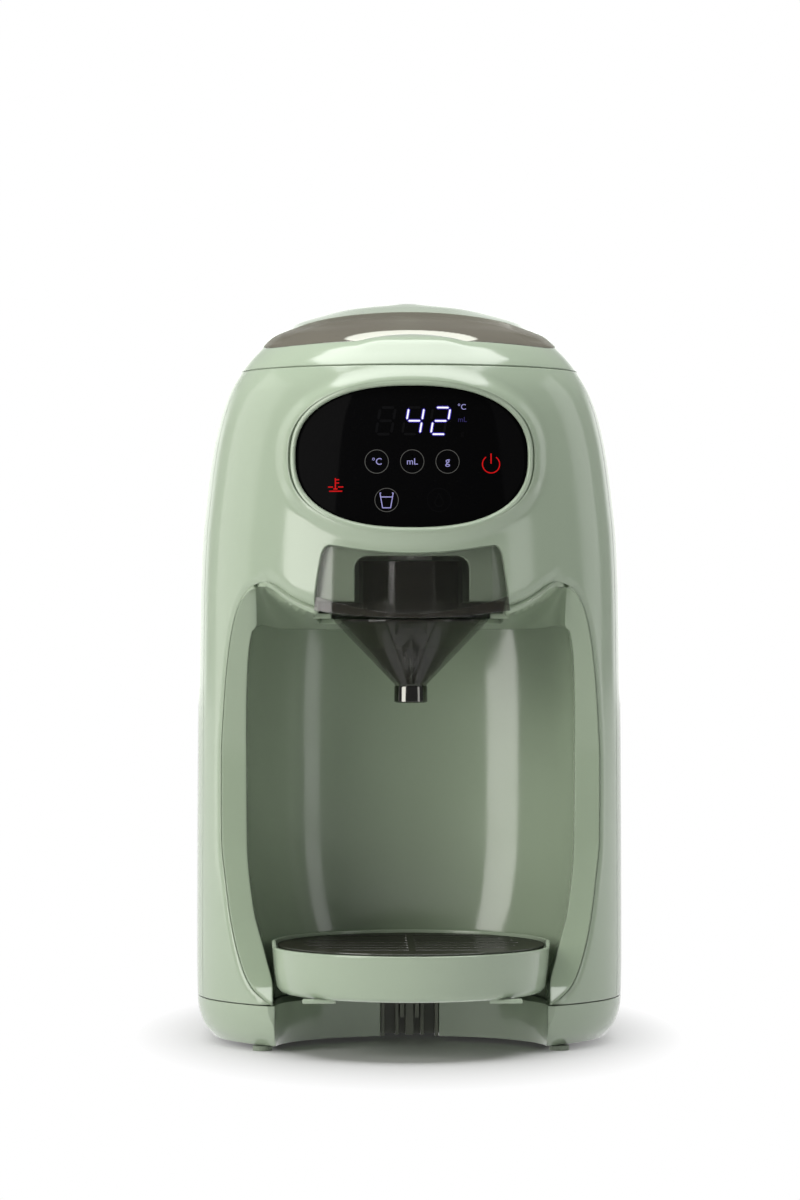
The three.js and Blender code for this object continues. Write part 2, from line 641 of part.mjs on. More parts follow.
function rearShell() {
  const wall = body(0).subtract(body(SHELL_WALL));
  const sideBottom = BASE_TOP_Z + SEAT_GAP;
  let shell = wall.intersect(slab(sideBottom, LID_SEAM_Z - SEAT_GAP, SEAM_Y + SEAT_GAP, BACK_Y));
  const back = body(0).intersect(slab(HEEL_TOP_Z - SHELL_WALL, FAR_Z, BACK_Y - SHELL_WALL, BACK_Y));
  const bridgeFront = HINGE_Y + KNUCKLE_RADIUS + SLIDE_GAP;
  const bridge = body(0).intersect(slab(LID_SEAM_Z, FAR_Z, bridgeFront, BACK_Y));
  const heelWall = wall.intersect(slab(sideBottom, HEEL_TOP_Z, BACK_Y - SHELL_WALL, FAR_Y));
  const heelTop = body(0).intersect(slab(HEEL_TOP_Z - SHELL_WALL, HEEL_TOP_Z, BACK_Y - SHELL_WALL, FAR_Y));
  shell = shell.add(back).add(bridge).add(heelWall).add(heelTop);
  for (const side of [-1, 1]) {
    const ends = [side * (LID_KNUCKLE_HALF + SLIDE_GAP), side * BODY_KNUCKLE_END].sort((a, b) => a - b);
    shell = shell.add(rodAlongX(ends[0], ends[1], HINGE_Y, HINGE_Z, KNUCKLE_RADIUS));
    const web = box(ends[0], ends[1], HINGE_Y, BACK_Y - SHELL_WALL, HINGE_Z - KNUCKLE_RADIUS, HINGE_Z);
    shell = shell.add(web);
  }
  const pin = PIN_RADIUS + SEAT_GAP;
  shell = shell.subtract(rodAlongX(-FAR_X, FAR_X, HINGE_Y, HINGE_Z, pin));
  const socketHole = SOCKET_RADIUS + SOCKET_WALL + SEAT_GAP;
  shell = shell.subtract(post(0, OUTLET_Y, HEEL_TOP_Z - OVERRUN, HEEL_TOP_Z + OVERRUN, socketHole));
  return shell.subtract(inletBlock(SEAT_GAP, FAR_Y));
}

function bayLiner() {
  const inside = body(SHELL_WALL + SEAT_GAP);
  const band = bayCut(BAND_SETBACK + LINER_WALL).subtract(bayCut(BAND_SETBACK));
  const cup = bayHollow(LINER_WALL).subtract(bayCut(BAND_SETBACK));
  let liner = band.add(cup).intersect(inside);
  liner = liner.subtract(bayHollow(0));
  liner = liner.intersect(slab(BASE_TOP_Z + SEAT_GAP, BAY_CORNER_Z + LINER_WALL));
  const half = FLANGE_HALF + SLIDE_GAP + GUIDE_WALL + SEAT_GAP;
  const rear = guideRear() + GUIDE_WALL + SEAT_GAP;
  liner = liner.subtract(box(-half, half, -FAR_Y, rear, BAY_TOP_Z - OVERRUN, FAR_Z));
  return liner.subtract(slab(0, FAR_Z, -FAR_Y, BAY_CORNER_Y));
}

function base() {
  const outer = body(0).intersect(slab(BASE_BOTTOM_Z, BASE_TOP_Z, BASE_TIP_Y)).subtract(archCut(0));
  const room = body(SHELL_WALL).intersect(slab(-OVERRUN, BASE_TOP_Z - BASE_DECK, BASE_TIP_Y + SHELL_WALL));
  let tub = outer.subtract(room.subtract(archCut(SHELL_WALL)));
  const bossFoot = BASE_BOTTOM_Z + PLATE_THICK + SEAT_GAP;
  for (const [x, y] of screwPlaces()) {
    tub = tub.add(post(x, y, bossFoot, BASE_TOP_Z - BASE_DECK, BOSS_RADIUS, 12));
    tub = tub.subtract(post(x, y, -OVERRUN, BASE_TOP_Z - BASE_DECK, SCREW_RADIUS + SEAT_GAP, 8));
  }
  return tub;
}

function screwPlaces() {
  const places = [];
  for (const y of [SCREW_FRONT_Y, SCREW_REAR_Y]) {
    for (const side of [-1, 1]) places.push([side * SCREW_X, y]);
  }
  return places;
}

function basePlate() {
  const inset = SHELL_WALL + PLATE_GAP;
  let plate = body(inset).intersect(
    slab(BASE_BOTTOM_Z, BASE_BOTTOM_Z + PLATE_THICK, BASE_TIP_Y + inset),
  );
  plate = plate.subtract(archCut(inset));
  for (const [x, y] of screwPlaces()) {
    plate = plate.subtract(post(x, y, -OVERRUN, BASE_TOP_Z, SCREW_RADIUS + SEAT_GAP, 8));
  }
  return plate;
}

function baseScrew(x, y) {
  const headTop = BASE_BOTTOM_Z - SEAT_GAP;
  const shank = post(x, y, headTop - SCREW_HEAD / 2, BASE_TOP_Z - BASE_DECK - SEAT_GAP, SCREW_RADIUS, 8);
  return shank.add(post(x, y, headTop - SCREW_HEAD, headTop, SCREW_HEAD_RADIUS, 12));
}

function panelPart(outline, hole, front, thick) {
  const skin = body(front).subtract(body(front + thick));
  let part = skin.intersect(frontPrism(panelOutline(outline)));
  if (hole !== null) part = part.subtract(frontPrism(panelOutline(hole)));
  return part.intersect(slab(BASE_TOP_Z, FAR_Z, -FAR_Y, SEAM_Y));
}

function displayModule() {
  const half = PANEL_HALF - DISPLAY_MARGIN;
  const halfHeight = PANEL_HALF_HEIGHT - DISPLAY_MARGIN;
  const front = BOARD_Y - BOARD_THICK - SEAT_GAP - DISPLAY_THICK;
  return box(-half, half, front, front + DISPLAY_THICK, PANEL_Z - halfHeight, PANEL_Z + halfHeight);
}

function controlBoard() {
  const half = PANEL_HALF - DISPLAY_MARGIN;
  const halfHeight = PANEL_HALF_HEIGHT - DISPLAY_MARGIN / 2;
  return box(-half, half, BOARD_Y - BOARD_THICK, BOARD_Y, PANEL_Z - halfHeight, PANEL_Z + halfHeight);
}

function guideRear() {
  return FUNNEL_Y + FUNNEL_RADIUS + OVERRUN;
}

// The channel that the funnel drawer slides in, with its ledges and the wall behind the drawer's front
function funnelGuide() {
  const inner = FLANGE_HALF + SLIDE_GAP;
  const outer = inner + GUIDE_WALL;
  const rear = guideRear();
  const bottom = HOLDER_BOTTOM_Z - SLIDE_GAP - GUIDE_WALL;
  const flangeTop = HOLDER_BOTTOM_Z + FLANGE_THICK + SLIDE_GAP;
  const front = HEAD_FRONT_Y;
  let guide = box(-outer, outer, front, rear + GUIDE_WALL, bottom, GUIDE_TOP_Z + GUIDE_WALL);
  guide = guide.subtract(box(-inner, inner, front - OVERRUN, rear, HOLDER_BOTTOM_Z - SLIDE_GAP, GUIDE_TOP_Z));
  const slot = inner - GUIDE_LEDGE;
  guide = guide.subtract(box(-slot, slot, front - OVERRUN, rear, bottom - OVERRUN, GUIDE_TOP_Z));
  const lug = BAY_TOP_Z + LINER_WALL + SEAT_GAP;
  const lugFront = FUNNEL_Y + FUNNEL_RADIUS / 2;
  const lugs = box(-outer - GUIDE_FLANGE, outer + GUIDE_FLANGE, lugFront, rear, lug, lug + GUIDE_WALL);
  guide = guide.add(lugs.subtract(box(-inner, inner, front, rear, lug - OVERRUN, lug + OVERRUN)));
  guide = guide.subtract(slab(0, flangeTop, -FAR_Y, BAY_CORNER_Y));
  const wallFront = HOLDER_THICK + SLIDE_GAP;
  let wall = body(wallFront).subtract(body(wallFront + GUIDE_WALL));
  wall = wall.intersect(box(-outer, outer, -FAR_Y, SEAM_Y, flangeTop, HOLDER_TOP_Z + GUIDE_WALL));
  guide = guide.intersect(body(wallFront).add(slab(0, FAR_Z, SEAM_Y, FAR_Y))).add(wall);
  const sill = flangeTop - HOLDER_CORNER;
  const cutout = frontPrism(rounded(-CUTOUT_HALF, CUTOUT_HALF, sill, CUTOUT_TOP_Z, HOLDER_CORNER), 4);
  guide = guide.subtract(cutout.intersect(slab(0, FAR_Z, -FAR_Y, FUNNEL_Y)));
  const feed = post(0, FEED_Y, GUIDE_TOP_Z - OVERRUN, DECK_Z, FEED_RADIUS + CHUTE_WALL + SEAT_GAP);
  const water = post(0, NOZZLE_Y, GUIDE_TOP_Z - OVERRUN, DECK_Z, NOZZLE_RADIUS + SEAT_GAP, 12);
  return guide.subtract(feed).subtract(water);
}

// Smoky front plate, the flange that runs on the ledges, and the collar round the powder and water
function funnelHolder() {
  const flangeTop = HOLDER_BOTTOM_Z + FLANGE_THICK;
  const rear = FUNNEL_Y + FUNNEL_RADIUS;
  const plate = body(0).subtract(body(HOLDER_THICK)).intersect(frontPrism(holderFront(0)));
  const plateFront = plate.intersect(slab(0, FAR_Z, -FAR_Y, SEAM_Y));
  const outline = rounded(-FLANGE_HALF, FLANGE_HALF, -FAR_Y, rear, FLANGE_HALF / 2);
  const flange = prism(outline, "z", HOLDER_BOTTOM_Z, flangeTop).intersect(body(SLIDE_GAP));
  const collar = post(0, FUNNEL_Y, HOLDER_BOTTOM_Z, COLLAR_TOP_Z, COLLAR_RADIUS, 32);
  const mouth = COLLAR_RADIUS - COLLAR_WALL;
  const bore = post(0, FUNNEL_Y, HOLDER_BOTTOM_Z - OVERRUN, COLLAR_TOP_Z + OVERRUN, mouth, 32);
  return plateFront.add(flange).add(collar).subtract(bore);
}

function funnel() {
  const top = HOLDER_BOTTOM_Z - SEAT_GAP;
  const wall = FUNNEL_WALL;
  const profile = [
    [SPOUT_RADIUS - wall, SPOUT_BOTTOM_Z],
    [SPOUT_RADIUS, SPOUT_BOTTOM_Z],
    [SPOUT_RADIUS, SPOUT_TOP_Z],
    [FUNNEL_RADIUS, top],
    [FUNNEL_RADIUS - 2 * wall, top],
    [SPOUT_RADIUS - wall, SPOUT_TOP_Z + wall],
    [SPOUT_RADIUS - wall, SPOUT_BOTTOM_Z],
  ];
  return spun(profile, 0, FUNNEL_Y, 32);
}

function mixingCore() {
  const points = coreShares.map(([z, radius]) => [radius * CORE_RADIUS, SPOUT_TOP_Z + z * CORE_HEIGHT]);
  const profile = [[0, points[0][1]], ...points, [0, points.at(-1)[1]]];
  const slope = (FUNNEL_RADIUS - SPOUT_RADIUS) / (HOLDER_BOTTOM_Z - SPOUT_TOP_Z);
  const innerAt = (z) => SPOUT_RADIUS - 2 * FUNNEL_WALL - SEAT_GAP + (z - SPOUT_TOP_Z) * slope;
  const finBottom = points[1][1];
  const finTop = points[3][1];
  const reach = post(0, FUNNEL_Y, finBottom, finTop, innerAt(finBottom), 24, innerAt(finTop));
  const half = CORE_FIN / 2;
  const across = box(-FUNNEL_RADIUS, FUNNEL_RADIUS, FUNNEL_Y - half, FUNNEL_Y + half, finBottom, finTop);
  const along = box(-half, half, FUNNEL_Y - FUNNEL_RADIUS, FUNNEL_Y + FUNNEL_RADIUS, finBottom, finTop);
  return spun(profile, 0, FUNNEL_Y, 24).add(across.add(along).intersect(reach));
}

// Trapezium teeth that clear each other at every turn
function gearShape(teeth, turn) {
  const pitchRadius = (teeth * GEAR_MODULE) / 2;
  const pitchAngle = (2 * Math.PI) / teeth;
  const shape = new THREE.Shape();
  for (let i = 0; i < teeth; i++) {
    const middle = turn + i * pitchAngle;
    const corners = [
      [-ROOT_SHARE, pitchRadius - TOOTH_IN],
      [-TIP_SHARE, pitchRadius + TOOTH_OUT],
      [TIP_SHARE, pitchRadius + TOOTH_OUT],
      [ROOT_SHARE, pitchRadius - TOOTH_IN],
    ];
    corners.forEach(([share, radius], k) => {
      const angle = middle + share * pitchAngle;
      const x = radius * Math.cos(angle);
      const y = radius * Math.sin(angle);
      if (i === 0 && k === 0) shape.moveTo(x, y);
      else shape.lineTo(x, y);
    });
  }
  return shape;
}

// One tooth of the wheel points at the pinion, which meets it with a gap
function dosingWheel() {
  let wheel = prism(gearShape(WHEEL_TEETH, Math.PI / 2), "z", GEAR_BOTTOM_Z, GEAR_TOP_Z);
  wheel = wheel.translate([0, WHEEL_Y, 0]);
  wheel = wheel.subtract(post(0, WHEEL_Y, DECK_Z, FAR_Z, SHAFT_RADIUS + SEAT_GAP, 16));
  for (let i = 0; i < POCKETS; i++) {
    const angle = (2 * Math.PI * i) / POCKETS - Math.PI / 2;
    const x = POCKET_RING * Math.cos(angle);
    const y = WHEEL_Y + POCKET_RING * Math.sin(angle);
    wheel = wheel.subtract(post(x, y, DECK_Z, FAR_Z, POCKET_RADIUS, 16));
  }
  return wheel;
}

function drivePinion() {
  const gapTowardsWheel = -Math.PI / 2 + Math.PI / PINION_TEETH;
  let pinion = prism(gearShape(PINION_TEETH, gapTowardsWheel), "z", GEAR_BOTTOM_Z, GEAR_TOP_Z);
  pinion = pinion.translate([0, PINION_Y, 0]);
  return pinion.add(post(0, PINION_Y, DECK_Z - MOTOR_LENGTH / 4, GEAR_TOP_Z, PINION_SHAFT, 16));
}

function dosingShaft() {
  return post(0, WHEEL_Y, DECK_Z - BOSS_RADIUS, PADDLE_Z + HUB_HEIGHT - SEAT_GAP, SHAFT_RADIUS, 16);
}

function agitator() {
  let part = post(0, WHEEL_Y, PADDLE_Z, PADDLE_Z + HUB_HEIGHT, HUB_RADIUS, 20);
  for (let i = 0; i < POCKETS / 2; i++) {
    const arm = new THREE.BoxGeometry(PADDLE_REACH, PADDLE_THICK, PADDLE_HEIGHT);
    arm.translate(PADDLE_REACH / 2, 0, PADDLE_Z + PADDLE_HEIGHT / 2);
    arm.rotateZ((4 * Math.PI * i) / POCKETS + Math.PI / 2);
    part = part.add(solid(arm.translate(0, WHEEL_Y, 0)));
  }
  const boreTop = PADDLE_Z + HUB_HEIGHT - SEAT_GAP;
  return part.subtract(post(0, WHEEL_Y, DECK_Z, boreTop, SHAFT_RADIUS + SEAT_GAP, 16));
}

function hopper() {
  const foot = DECK_Z + DECK_THICK + SEAT_GAP;
  const floorTop = HOPPER_FLOOR_Z + HOPPER_WALL;
  let bowl = post(0, WHEEL_Y, foot, HOPPER_TOP_Z, HOPPER_RADIUS, 40);
  bowl = bowl.subtract(post(0, WHEEL_Y, floorTop, FAR_Z, HOPPER_RADIUS - HOPPER_WALL, 40));
  bowl = bowl.subtract(post(0, WHEEL_Y, 0, HOPPER_FLOOR_Z, HOPPER_RADIUS - HOPPER_WALL, 40));
  const pinionRoom = PINION_TIP + SLIDE_GAP;
  bowl = bowl.subtract(box(-pinionRoom, pinionRoom, WHEEL_Y, FAR_Y, 0, HOPPER_FLOOR_Z));
  bowl = bowl.subtract(post(0, WHEEL_Y, 0, FAR_Z, SHAFT_RADIUS + SLIDE_GAP, 16));
  return bowl.subtract(post(0, WHEEL_Y + POCKET_RING, 0, FAR_Z, POCKET_RADIUS, 16));
}

function headDeck() {
  let deck = body(SHELL_WALL + PLATE_GAP).intersect(
    slab(DECK_Z, DECK_Z + DECK_THICK, BOARD_Y, BACK_Y - SHELL_WALL - SEAT_GAP),
  );
  const holes = [
    [0, WHEEL_Y, SHAFT_RADIUS + SEAT_GAP],
    [0, PINION_Y, PINION_SHAFT + SEAT_GAP],
    [0, FEED_Y, FEED_RADIUS],
    [0, NOZZLE_Y, NOZZLE_RADIUS + SEAT_GAP],
  ];
  for (const [x, y, radius] of holes) deck = deck.subtract(post(x, y, 0, FAR_Z, radius, 20));
  const hoseSide = HOSE_BEND_X - 2 * HOSE_RADIUS - SLIDE_GAP;
  const hoseRear = HOSE_BEND_Y + 2 * HOSE_RADIUS;
  return deck.subtract(box(hoseSide, FAR_X, WHEEL_Y, hoseRear, 0, FAR_Z));
}

function powderChute() {
  const top = DECK_Z - SEAT_GAP;
  const outer = FEED_RADIUS + CHUTE_WALL;
  const bottom = COLLAR_TOP_Z + SLIDE_GAP;
  const profile = [
    [FEED_RADIUS, bottom],
    [outer, bottom],
    [outer, top - CHUTE_WALL],
    [outer + CHUTE_FLANGE, top - CHUTE_WALL],
    [outer + CHUTE_FLANGE, top],
    [FEED_RADIUS, top],
    [FEED_RADIUS, bottom],
  ];
  return spun(profile, 0, FEED_Y, 28);
}

function dosingMotor() {
  const top = DECK_Z - SEAT_GAP;
  let motor = post(0, PINION_Y, top - MOTOR_LENGTH, top - MOTOR_FLANGE, MOTOR_RADIUS, 28);
  const half = MOTOR_RADIUS + MOTOR_FLANGE;
  const front = PINION_Y - MOTOR_RADIUS;
  motor = motor.add(box(-half, half, front, front + 2 * MOTOR_RADIUS, top - MOTOR_FLANGE, top));
  const end = post(0, PINION_Y, top - MOTOR_LENGTH - MOTOR_FLANGE, top - MOTOR_LENGTH, MOTOR_RADIUS / 2, 20);
  const bore = post(0, PINION_Y, top - MOTOR_LENGTH / 3, FAR_Z, PINION_SHAFT + SEAT_GAP, 16);
  return motor.add(end).subtract(bore);
}

function hopperSurround() {
  const rear = HINGE_Y + KNUCKLE_RADIUS;
  const top = HOPPER_TOP_Z;
  const plate = body(SHELL_WALL + PLATE_GAP).intersect(slab(top - SURROUND_THICK, top, -FAR_Y, rear));
  return plate.subtract(post(0, WHEEL_Y, 0, FAR_Z, HOPPER_RADIUS + SEAT_GAP, 40));
}

// The window in the lid seen from above, grown by a margin, with the finger notch at its front
function windowCut(margin) {
  const half = WINDOW_HALF + margin;
  const shape = new THREE.Shape();
  shape.moveTo(half, WINDOW_MIDDLE_Y);
  const rear = WINDOW_REAR_Y - WINDOW_MIDDLE_Y + margin;
  const front = WINDOW_MIDDLE_Y - WINDOW_FRONT_Y + margin;
  shape.absellipse(0, WINDOW_MIDDLE_Y, half, rear, 0, Math.PI, false);
  shape.absellipse(0, WINDOW_MIDDLE_Y, half, front, Math.PI, 2 * Math.PI, false);
  const whole = prism(shape, "z", LID_SEAM_Z, FAR_Z, 6);
  const notch = new THREE.Shape();
  const notchY = WINDOW_FRONT_Y - margin;
  notch.absellipse(0, notchY, NOTCH_HALF - margin, NOTCH_DEPTH, 0, 2 * Math.PI, false);
  return whole.subtract(prism(notch, "z", 0, FAR_Z + OVERRUN, 6));
}

function lidFrame() {
  const bottom = LID_SEAM_Z + SEAT_GAP;
  const zone = slab(bottom, FAR_Z, -FAR_Y, LID_REAR_Y);
  const lipZone = windowCut(WINDOW_LIP).subtract(windowCut(-WINDOW_LIP));
  const room = body(LID_WALL).subtract(lipZone.subtract(body(2 * LID_WALL + SEAT_GAP)));
  let frame = body(0).subtract(room).subtract(windowCut(0).subtract(body(LID_WALL + SEAT_GAP)));
  const rear = body(0).intersect(slab(bottom, FAR_Z, LID_REAR_Y - LID_WALL, LID_REAR_Y));
  const ledge = body(0).intersect(slab(bottom, bottom + LEDGE_THICK));
  const opening = post(0, WHEEL_Y, 0, FAR_Z, HOPPER_RADIUS - SEAL_WIDTH - HOPPER_WALL, 40);
  frame = frame.add(rear).add(ledge.subtract(opening)).intersect(zone);
  frame = frame.add(rodAlongX(-LID_KNUCKLE_HALF, LID_KNUCKLE_HALF, HINGE_Y, HINGE_Z, KNUCKLE_RADIUS));
  const webBottom = HINGE_Z - KNUCKLE_RADIUS;
  const web = box(-LID_KNUCKLE_HALF, LID_KNUCKLE_HALF, LID_REAR_Y - LID_WALL, HINGE_Y, webBottom, HINGE_Z);
  const pin = rodAlongX(-FAR_X, FAR_X, HINGE_Y, HINGE_Z, PIN_RADIUS + SEAT_GAP);
  return frame.add(web).subtract(pin);
}

function lidWindow() {
  return body(0).subtract(body(LID_WALL)).intersect(windowCut(-SEAT_GAP));
}

function lidSeal() {
  const outer = HOPPER_RADIUS;
  return ring(0, WHEEL_Y, HOPPER_TOP_Z + SEAT_GAP, LID_SEAM_Z, outer - SEAL_WIDTH, outer, 40);
}

function hingePin() {
  return rodAlongX(-BODY_KNUCKLE_END, BODY_KNUCKLE_END, HINGE_Y, HINGE_Z, PIN_RADIUS);
}

function waterTank() {
  const outer = body(0).intersect(slab(TANK_BOTTOM_Z, TANK_TOP_Z, TANK_FRONT_Y));
  const room = body(TANK_WALL).intersect(slab(TANK_FLOOR_Z, FAR_Z, TANK_FRONT_Y + TANK_WALL));
  let tank = outer.subtract(room);
  const nozzle = OUTLET_RADIUS + OUTLET_WALL;
  tank = tank.add(post(0, OUTLET_Y, TANK_BOTTOM_Z - OUTLET_LENGTH, TANK_BOTTOM_Z + OUTLET_WALL, nozzle));
  return tank.subtract(post(0, OUTLET_Y, 0, TANK_FLOOR_Z + OVERRUN, OUTLET_RADIUS));
}

function tankLid() {
  const bottom = TANK_TOP_Z + SEAT_GAP;
  const skirtInset = TANK_WALL + SLIDE_GAP;
  const dome = body(0).subtract(body(LID_WALL)).intersect(slab(bottom, FAR_Z, TANK_FRONT_Y));
  const front = body(0).intersect(slab(bottom, FAR_Z, TANK_FRONT_Y, TANK_FRONT_Y + skirtInset + LID_WALL));
  const rim = body(0).intersect(slab(bottom, bottom + LEDGE_THICK, TANK_FRONT_Y));
  const plug = body(skirtInset).intersect(
    slab(bottom - TANK_LID_SKIRT, bottom + LEDGE_THICK, TANK_FRONT_Y + skirtInset),
  );
  const inner = skirtInset + LID_WALL;
  const room = body(inner).intersect(slab(0, FAR_Z, TANK_FRONT_Y + inner));
  return dome.add(front).add(rim).add(plug).subtract(room);
}

function tankValve() {
  const bottom = TANK_FLOOR_Z + VALVE_LIFT + SEAT_GAP;
  const disc = post(0, OUTLET_Y, bottom, bottom + VALVE_THICK, VALVE_RADIUS, 28);
  const stemBottom = socketFloor() + pushPin() + SEAT_GAP;
  return disc.add(post(0, OUTLET_Y, stemBottom, bottom + VALVE_THICK, STEM_RADIUS, 16));
}

function valveCage() {
  const bottom = TANK_FLOOR_Z + SEAT_GAP;
  const top = bottom + CAGE_HEIGHT;
  let cage = post(0, OUTLET_Y, bottom, top, CAGE_RADIUS, 28);
  cage = cage.subtract(post(0, OUTLET_Y, 0, top - CAGE_WALL, CAGE_RADIUS - CAGE_WALL, 28));
  const slot = CAGE_RADIUS / 2;
  const sill = bottom + CAGE_WALL;
  const lintel = top - 2 * CAGE_WALL;
  cage = cage.subtract(box(-slot, slot, OUTLET_Y - FAR_Y, FAR_Y, sill, lintel));
  return cage.subtract(box(-FAR_X, FAR_X, OUTLET_Y - slot, OUTLET_Y + slot, sill, lintel));
}

// One unbroken coil between the valve's disc and the top of its cage
function valveSpring() {
  const bottom = TANK_FLOOR_Z + VALVE_LIFT + VALVE_THICK + 2 * SEAT_GAP + SPRING_WIRE;
  const top = TANK_FLOOR_Z + CAGE_HEIGHT - CAGE_WALL - SPRING_WIRE;
  class Coil extends THREE.Curve {
    getPoint(t, target = new THREE.Vector3()) {
      const angle = 2 * Math.PI * SPRING_TURNS * t;
      const x = SPRING_RADIUS * Math.cos(angle);
      return target.set(x, OUTLET_Y + SPRING_RADIUS * Math.sin(angle), bottom + (top - bottom) * t);
    }
  }
  const wire = new THREE.Shape();
  wire.absarc(0, 0, SPRING_WIRE, 0, 2 * Math.PI, false);
  const steps = SPRING_TURNS * 8;
  return solid(new THREE.ExtrudeGeometry(wire, { steps, extrudePath: new Coil(), curveSegments: 3 }));
}

function socketFloor() {
  return HEEL_TOP_Z - SOCKET_DEPTH + SOCKET_WALL;
}

function pushPin() {
  return SOCKET_WALL * 2;
}

function tankSocket() {
  const floor = socketFloor();
  const outer = SOCKET_RADIUS + SOCKET_WALL;
  const flangeTop = HEEL_TOP_Z - SHELL_WALL - SEAT_GAP;
  let socket = post(0, OUTLET_Y, floor - SOCKET_WALL, HEEL_TOP_Z - SEAT_GAP, outer);
  socket = socket.add(post(0, OUTLET_Y, flangeTop - SOCKET_WALL, flangeTop, outer + SOCKET_FLANGE));
  socket = socket.subtract(post(0, OUTLET_Y, floor, FAR_Z, SOCKET_RADIUS));
  socket = socket.add(post(0, OUTLET_Y, floor - SOCKET_WALL / 2, floor + pushPin(), STEM_RADIUS, 16));
  const barbZ = floor + BARB_RADIUS;
  const barbFront = OUTLET_Y - outer - SOCKET_BARB;
  const barbRear = OUTLET_Y - SOCKET_RADIUS - SEAT_GAP;
  return socket.add(rodAlongY(barbFront, barbRear, 0, barbZ, BARB_RADIUS));
}

function tankSeal() {
  const inner = OUTLET_RADIUS + OUTLET_WALL + SEAT_GAP;
  const top = HEEL_TOP_Z - SEAT_GAP - SOCKET_WALL / 2;
  return ring(0, OUTLET_Y, top - OUTLET_LENGTH / 2, top, inner, SOCKET_RADIUS - SEAT_GAP, 24);
}

function floatGuide() {
  const bottom = TANK_FLOOR_Z + SEAT_GAP;
  const top = bottom + FLOAT_FOOT + FLOAT_HEIGHT + FLOAT_TRAVEL + SLIDE_GAP + SEAT_GAP;
  let guide = post(FLOAT_X, FLOAT_Y, bottom, top + FLOAT_FOOT, STEM_RADIUS, 16);
  guide = guide.add(post(FLOAT_X, FLOAT_Y, bottom, bottom + FLOAT_FOOT, FLOAT_RADIUS / 2, 20));
  return guide.add(post(FLOAT_X, FLOAT_Y, top, top + FLOAT_FOOT, FLOAT_RADIUS / 2, 20));
}

function levelFloat() {
  const bottom = TANK_FLOOR_Z + SEAT_GAP + FLOAT_FOOT + SEAT_GAP;
  return ring(FLOAT_X, FLOAT_Y, bottom, bottom + FLOAT_HEIGHT, STEM_RADIUS + SLIDE_GAP, FLOAT_RADIUS, 24);
}

function mountingPlate(x, y, halfWidth, halfDepth) {
  const top = MOUNT_Z + MOUNT_THICK;
  return box(x - halfWidth, x + halfWidth, y - halfDepth, y + halfDepth, MOUNT_Z, top);
}

function pump() {
  const top = MOUNT_Z + MOUNT_THICK + PUMP_HEIGHT;
  const half = PUMP_RADIUS + MOUNT_THICK;
  let part = mountingPlate(PUMP_X, PUMP_Y, half, PUMP_RADIUS);
  part = part.add(post(PUMP_X, PUMP_Y, MOUNT_Z, top, PUMP_RADIUS, 28));
  part = part.add(post(PUMP_X, PUMP_Y, top - MOUNT_THICK, top + BARB_LENGTH, BARB_RADIUS, 12));
  return part.add(rodAlongY(PUMP_Y, PUMP_Y + PUMP_RADIUS + BARB_LENGTH, PUMP_X, BARB_Z, BARB_RADIUS, 12));
}

function heater() {
  const top = MOUNT_Z + MOUNT_THICK + HEATER_HEIGHT;
  const half = HEATER_RADIUS + MOUNT_THICK;
  let part = mountingPlate(HEATER_X, HEATER_Y, half, HEATER_RADIUS);
  part = part.add(post(HEATER_X, HEATER_Y, MOUNT_Z, top, HEATER_RADIUS, 28));
  part = part.add(post(HEATER_X, HEATER_Y, top - MOUNT_THICK, top + BARB_LENGTH, BARB_RADIUS, 12));
  const barb = rodAlongX(HEATER_X - HEATER_RADIUS - BARB_LENGTH, HEATER_X, HEATER_Y, BARB_Z, BARB_RADIUS, 12);
  return part.add(barb);
}

function thermostat() {
  const x = HEATER_X + HEATER_RADIUS + SEAT_GAP;
  const z = MOUNT_Z + HEATER_HEIGHT / 2;
  return rodAlongX(x, x + THERMOSTAT_THICK, HEATER_Y, z, THERMOSTAT_RADIUS, 20);
}

function hose(points) {
  const path = new THREE.CatmullRomCurve3(points.map(([x, y, z]) => new THREE.Vector3(x, y, z)));
  const section = new THREE.Shape();
  section.absarc(0, 0, HOSE_RADIUS, 0, 2 * Math.PI, false);
  const steps = Math.round(path.getLength() / (4 * HOSE_RADIUS)) + 4;
  return solid(new THREE.ExtrudeGeometry(section, { steps, extrudePath: path, curveSegments: 4 }));
}

function tankHose() {
  const start = OUTLET_Y - SOCKET_RADIUS - SOCKET_WALL - SOCKET_BARB - SEAT_GAP;
  const end = PUMP_Y + PUMP_RADIUS + BARB_LENGTH + SEAT_GAP;
  const startZ = socketFloor() + BARB_RADIUS;
  const bend = 2 * HOSE_RADIUS;
  return hose([
    [0, start, startZ],
    [0, start - bend, startZ],
    [PUMP_X / 2, (start + end) / 2, (startZ + BARB_Z) / 2],
    [PUMP_X, end + bend, BARB_Z],
    [PUMP_X, end, BARB_Z],
  ]);
}

function heaterHose() {
  const start = MOUNT_Z + MOUNT_THICK + PUMP_HEIGHT + BARB_LENGTH + SEAT_GAP;
  const endX = HEATER_X - HEATER_RADIUS - BARB_LENGTH - SEAT_GAP;
  const bend = 2 * HOSE_RADIUS;
  return hose([
    [PUMP_X, PUMP_Y, start],
    [PUMP_X, PUMP_Y, start + bend],
    [PUMP_X + 3 * bend, PUMP_Y, start + 2 * bend],
    [(PUMP_X + PUMP_RADIUS + endX) / 2, HEATER_Y, BARB_Z + 2 * bend],
    [endX - bend, HEATER_Y, BARB_Z],
    [endX, HEATER_Y, BARB_Z],
  ]);
}

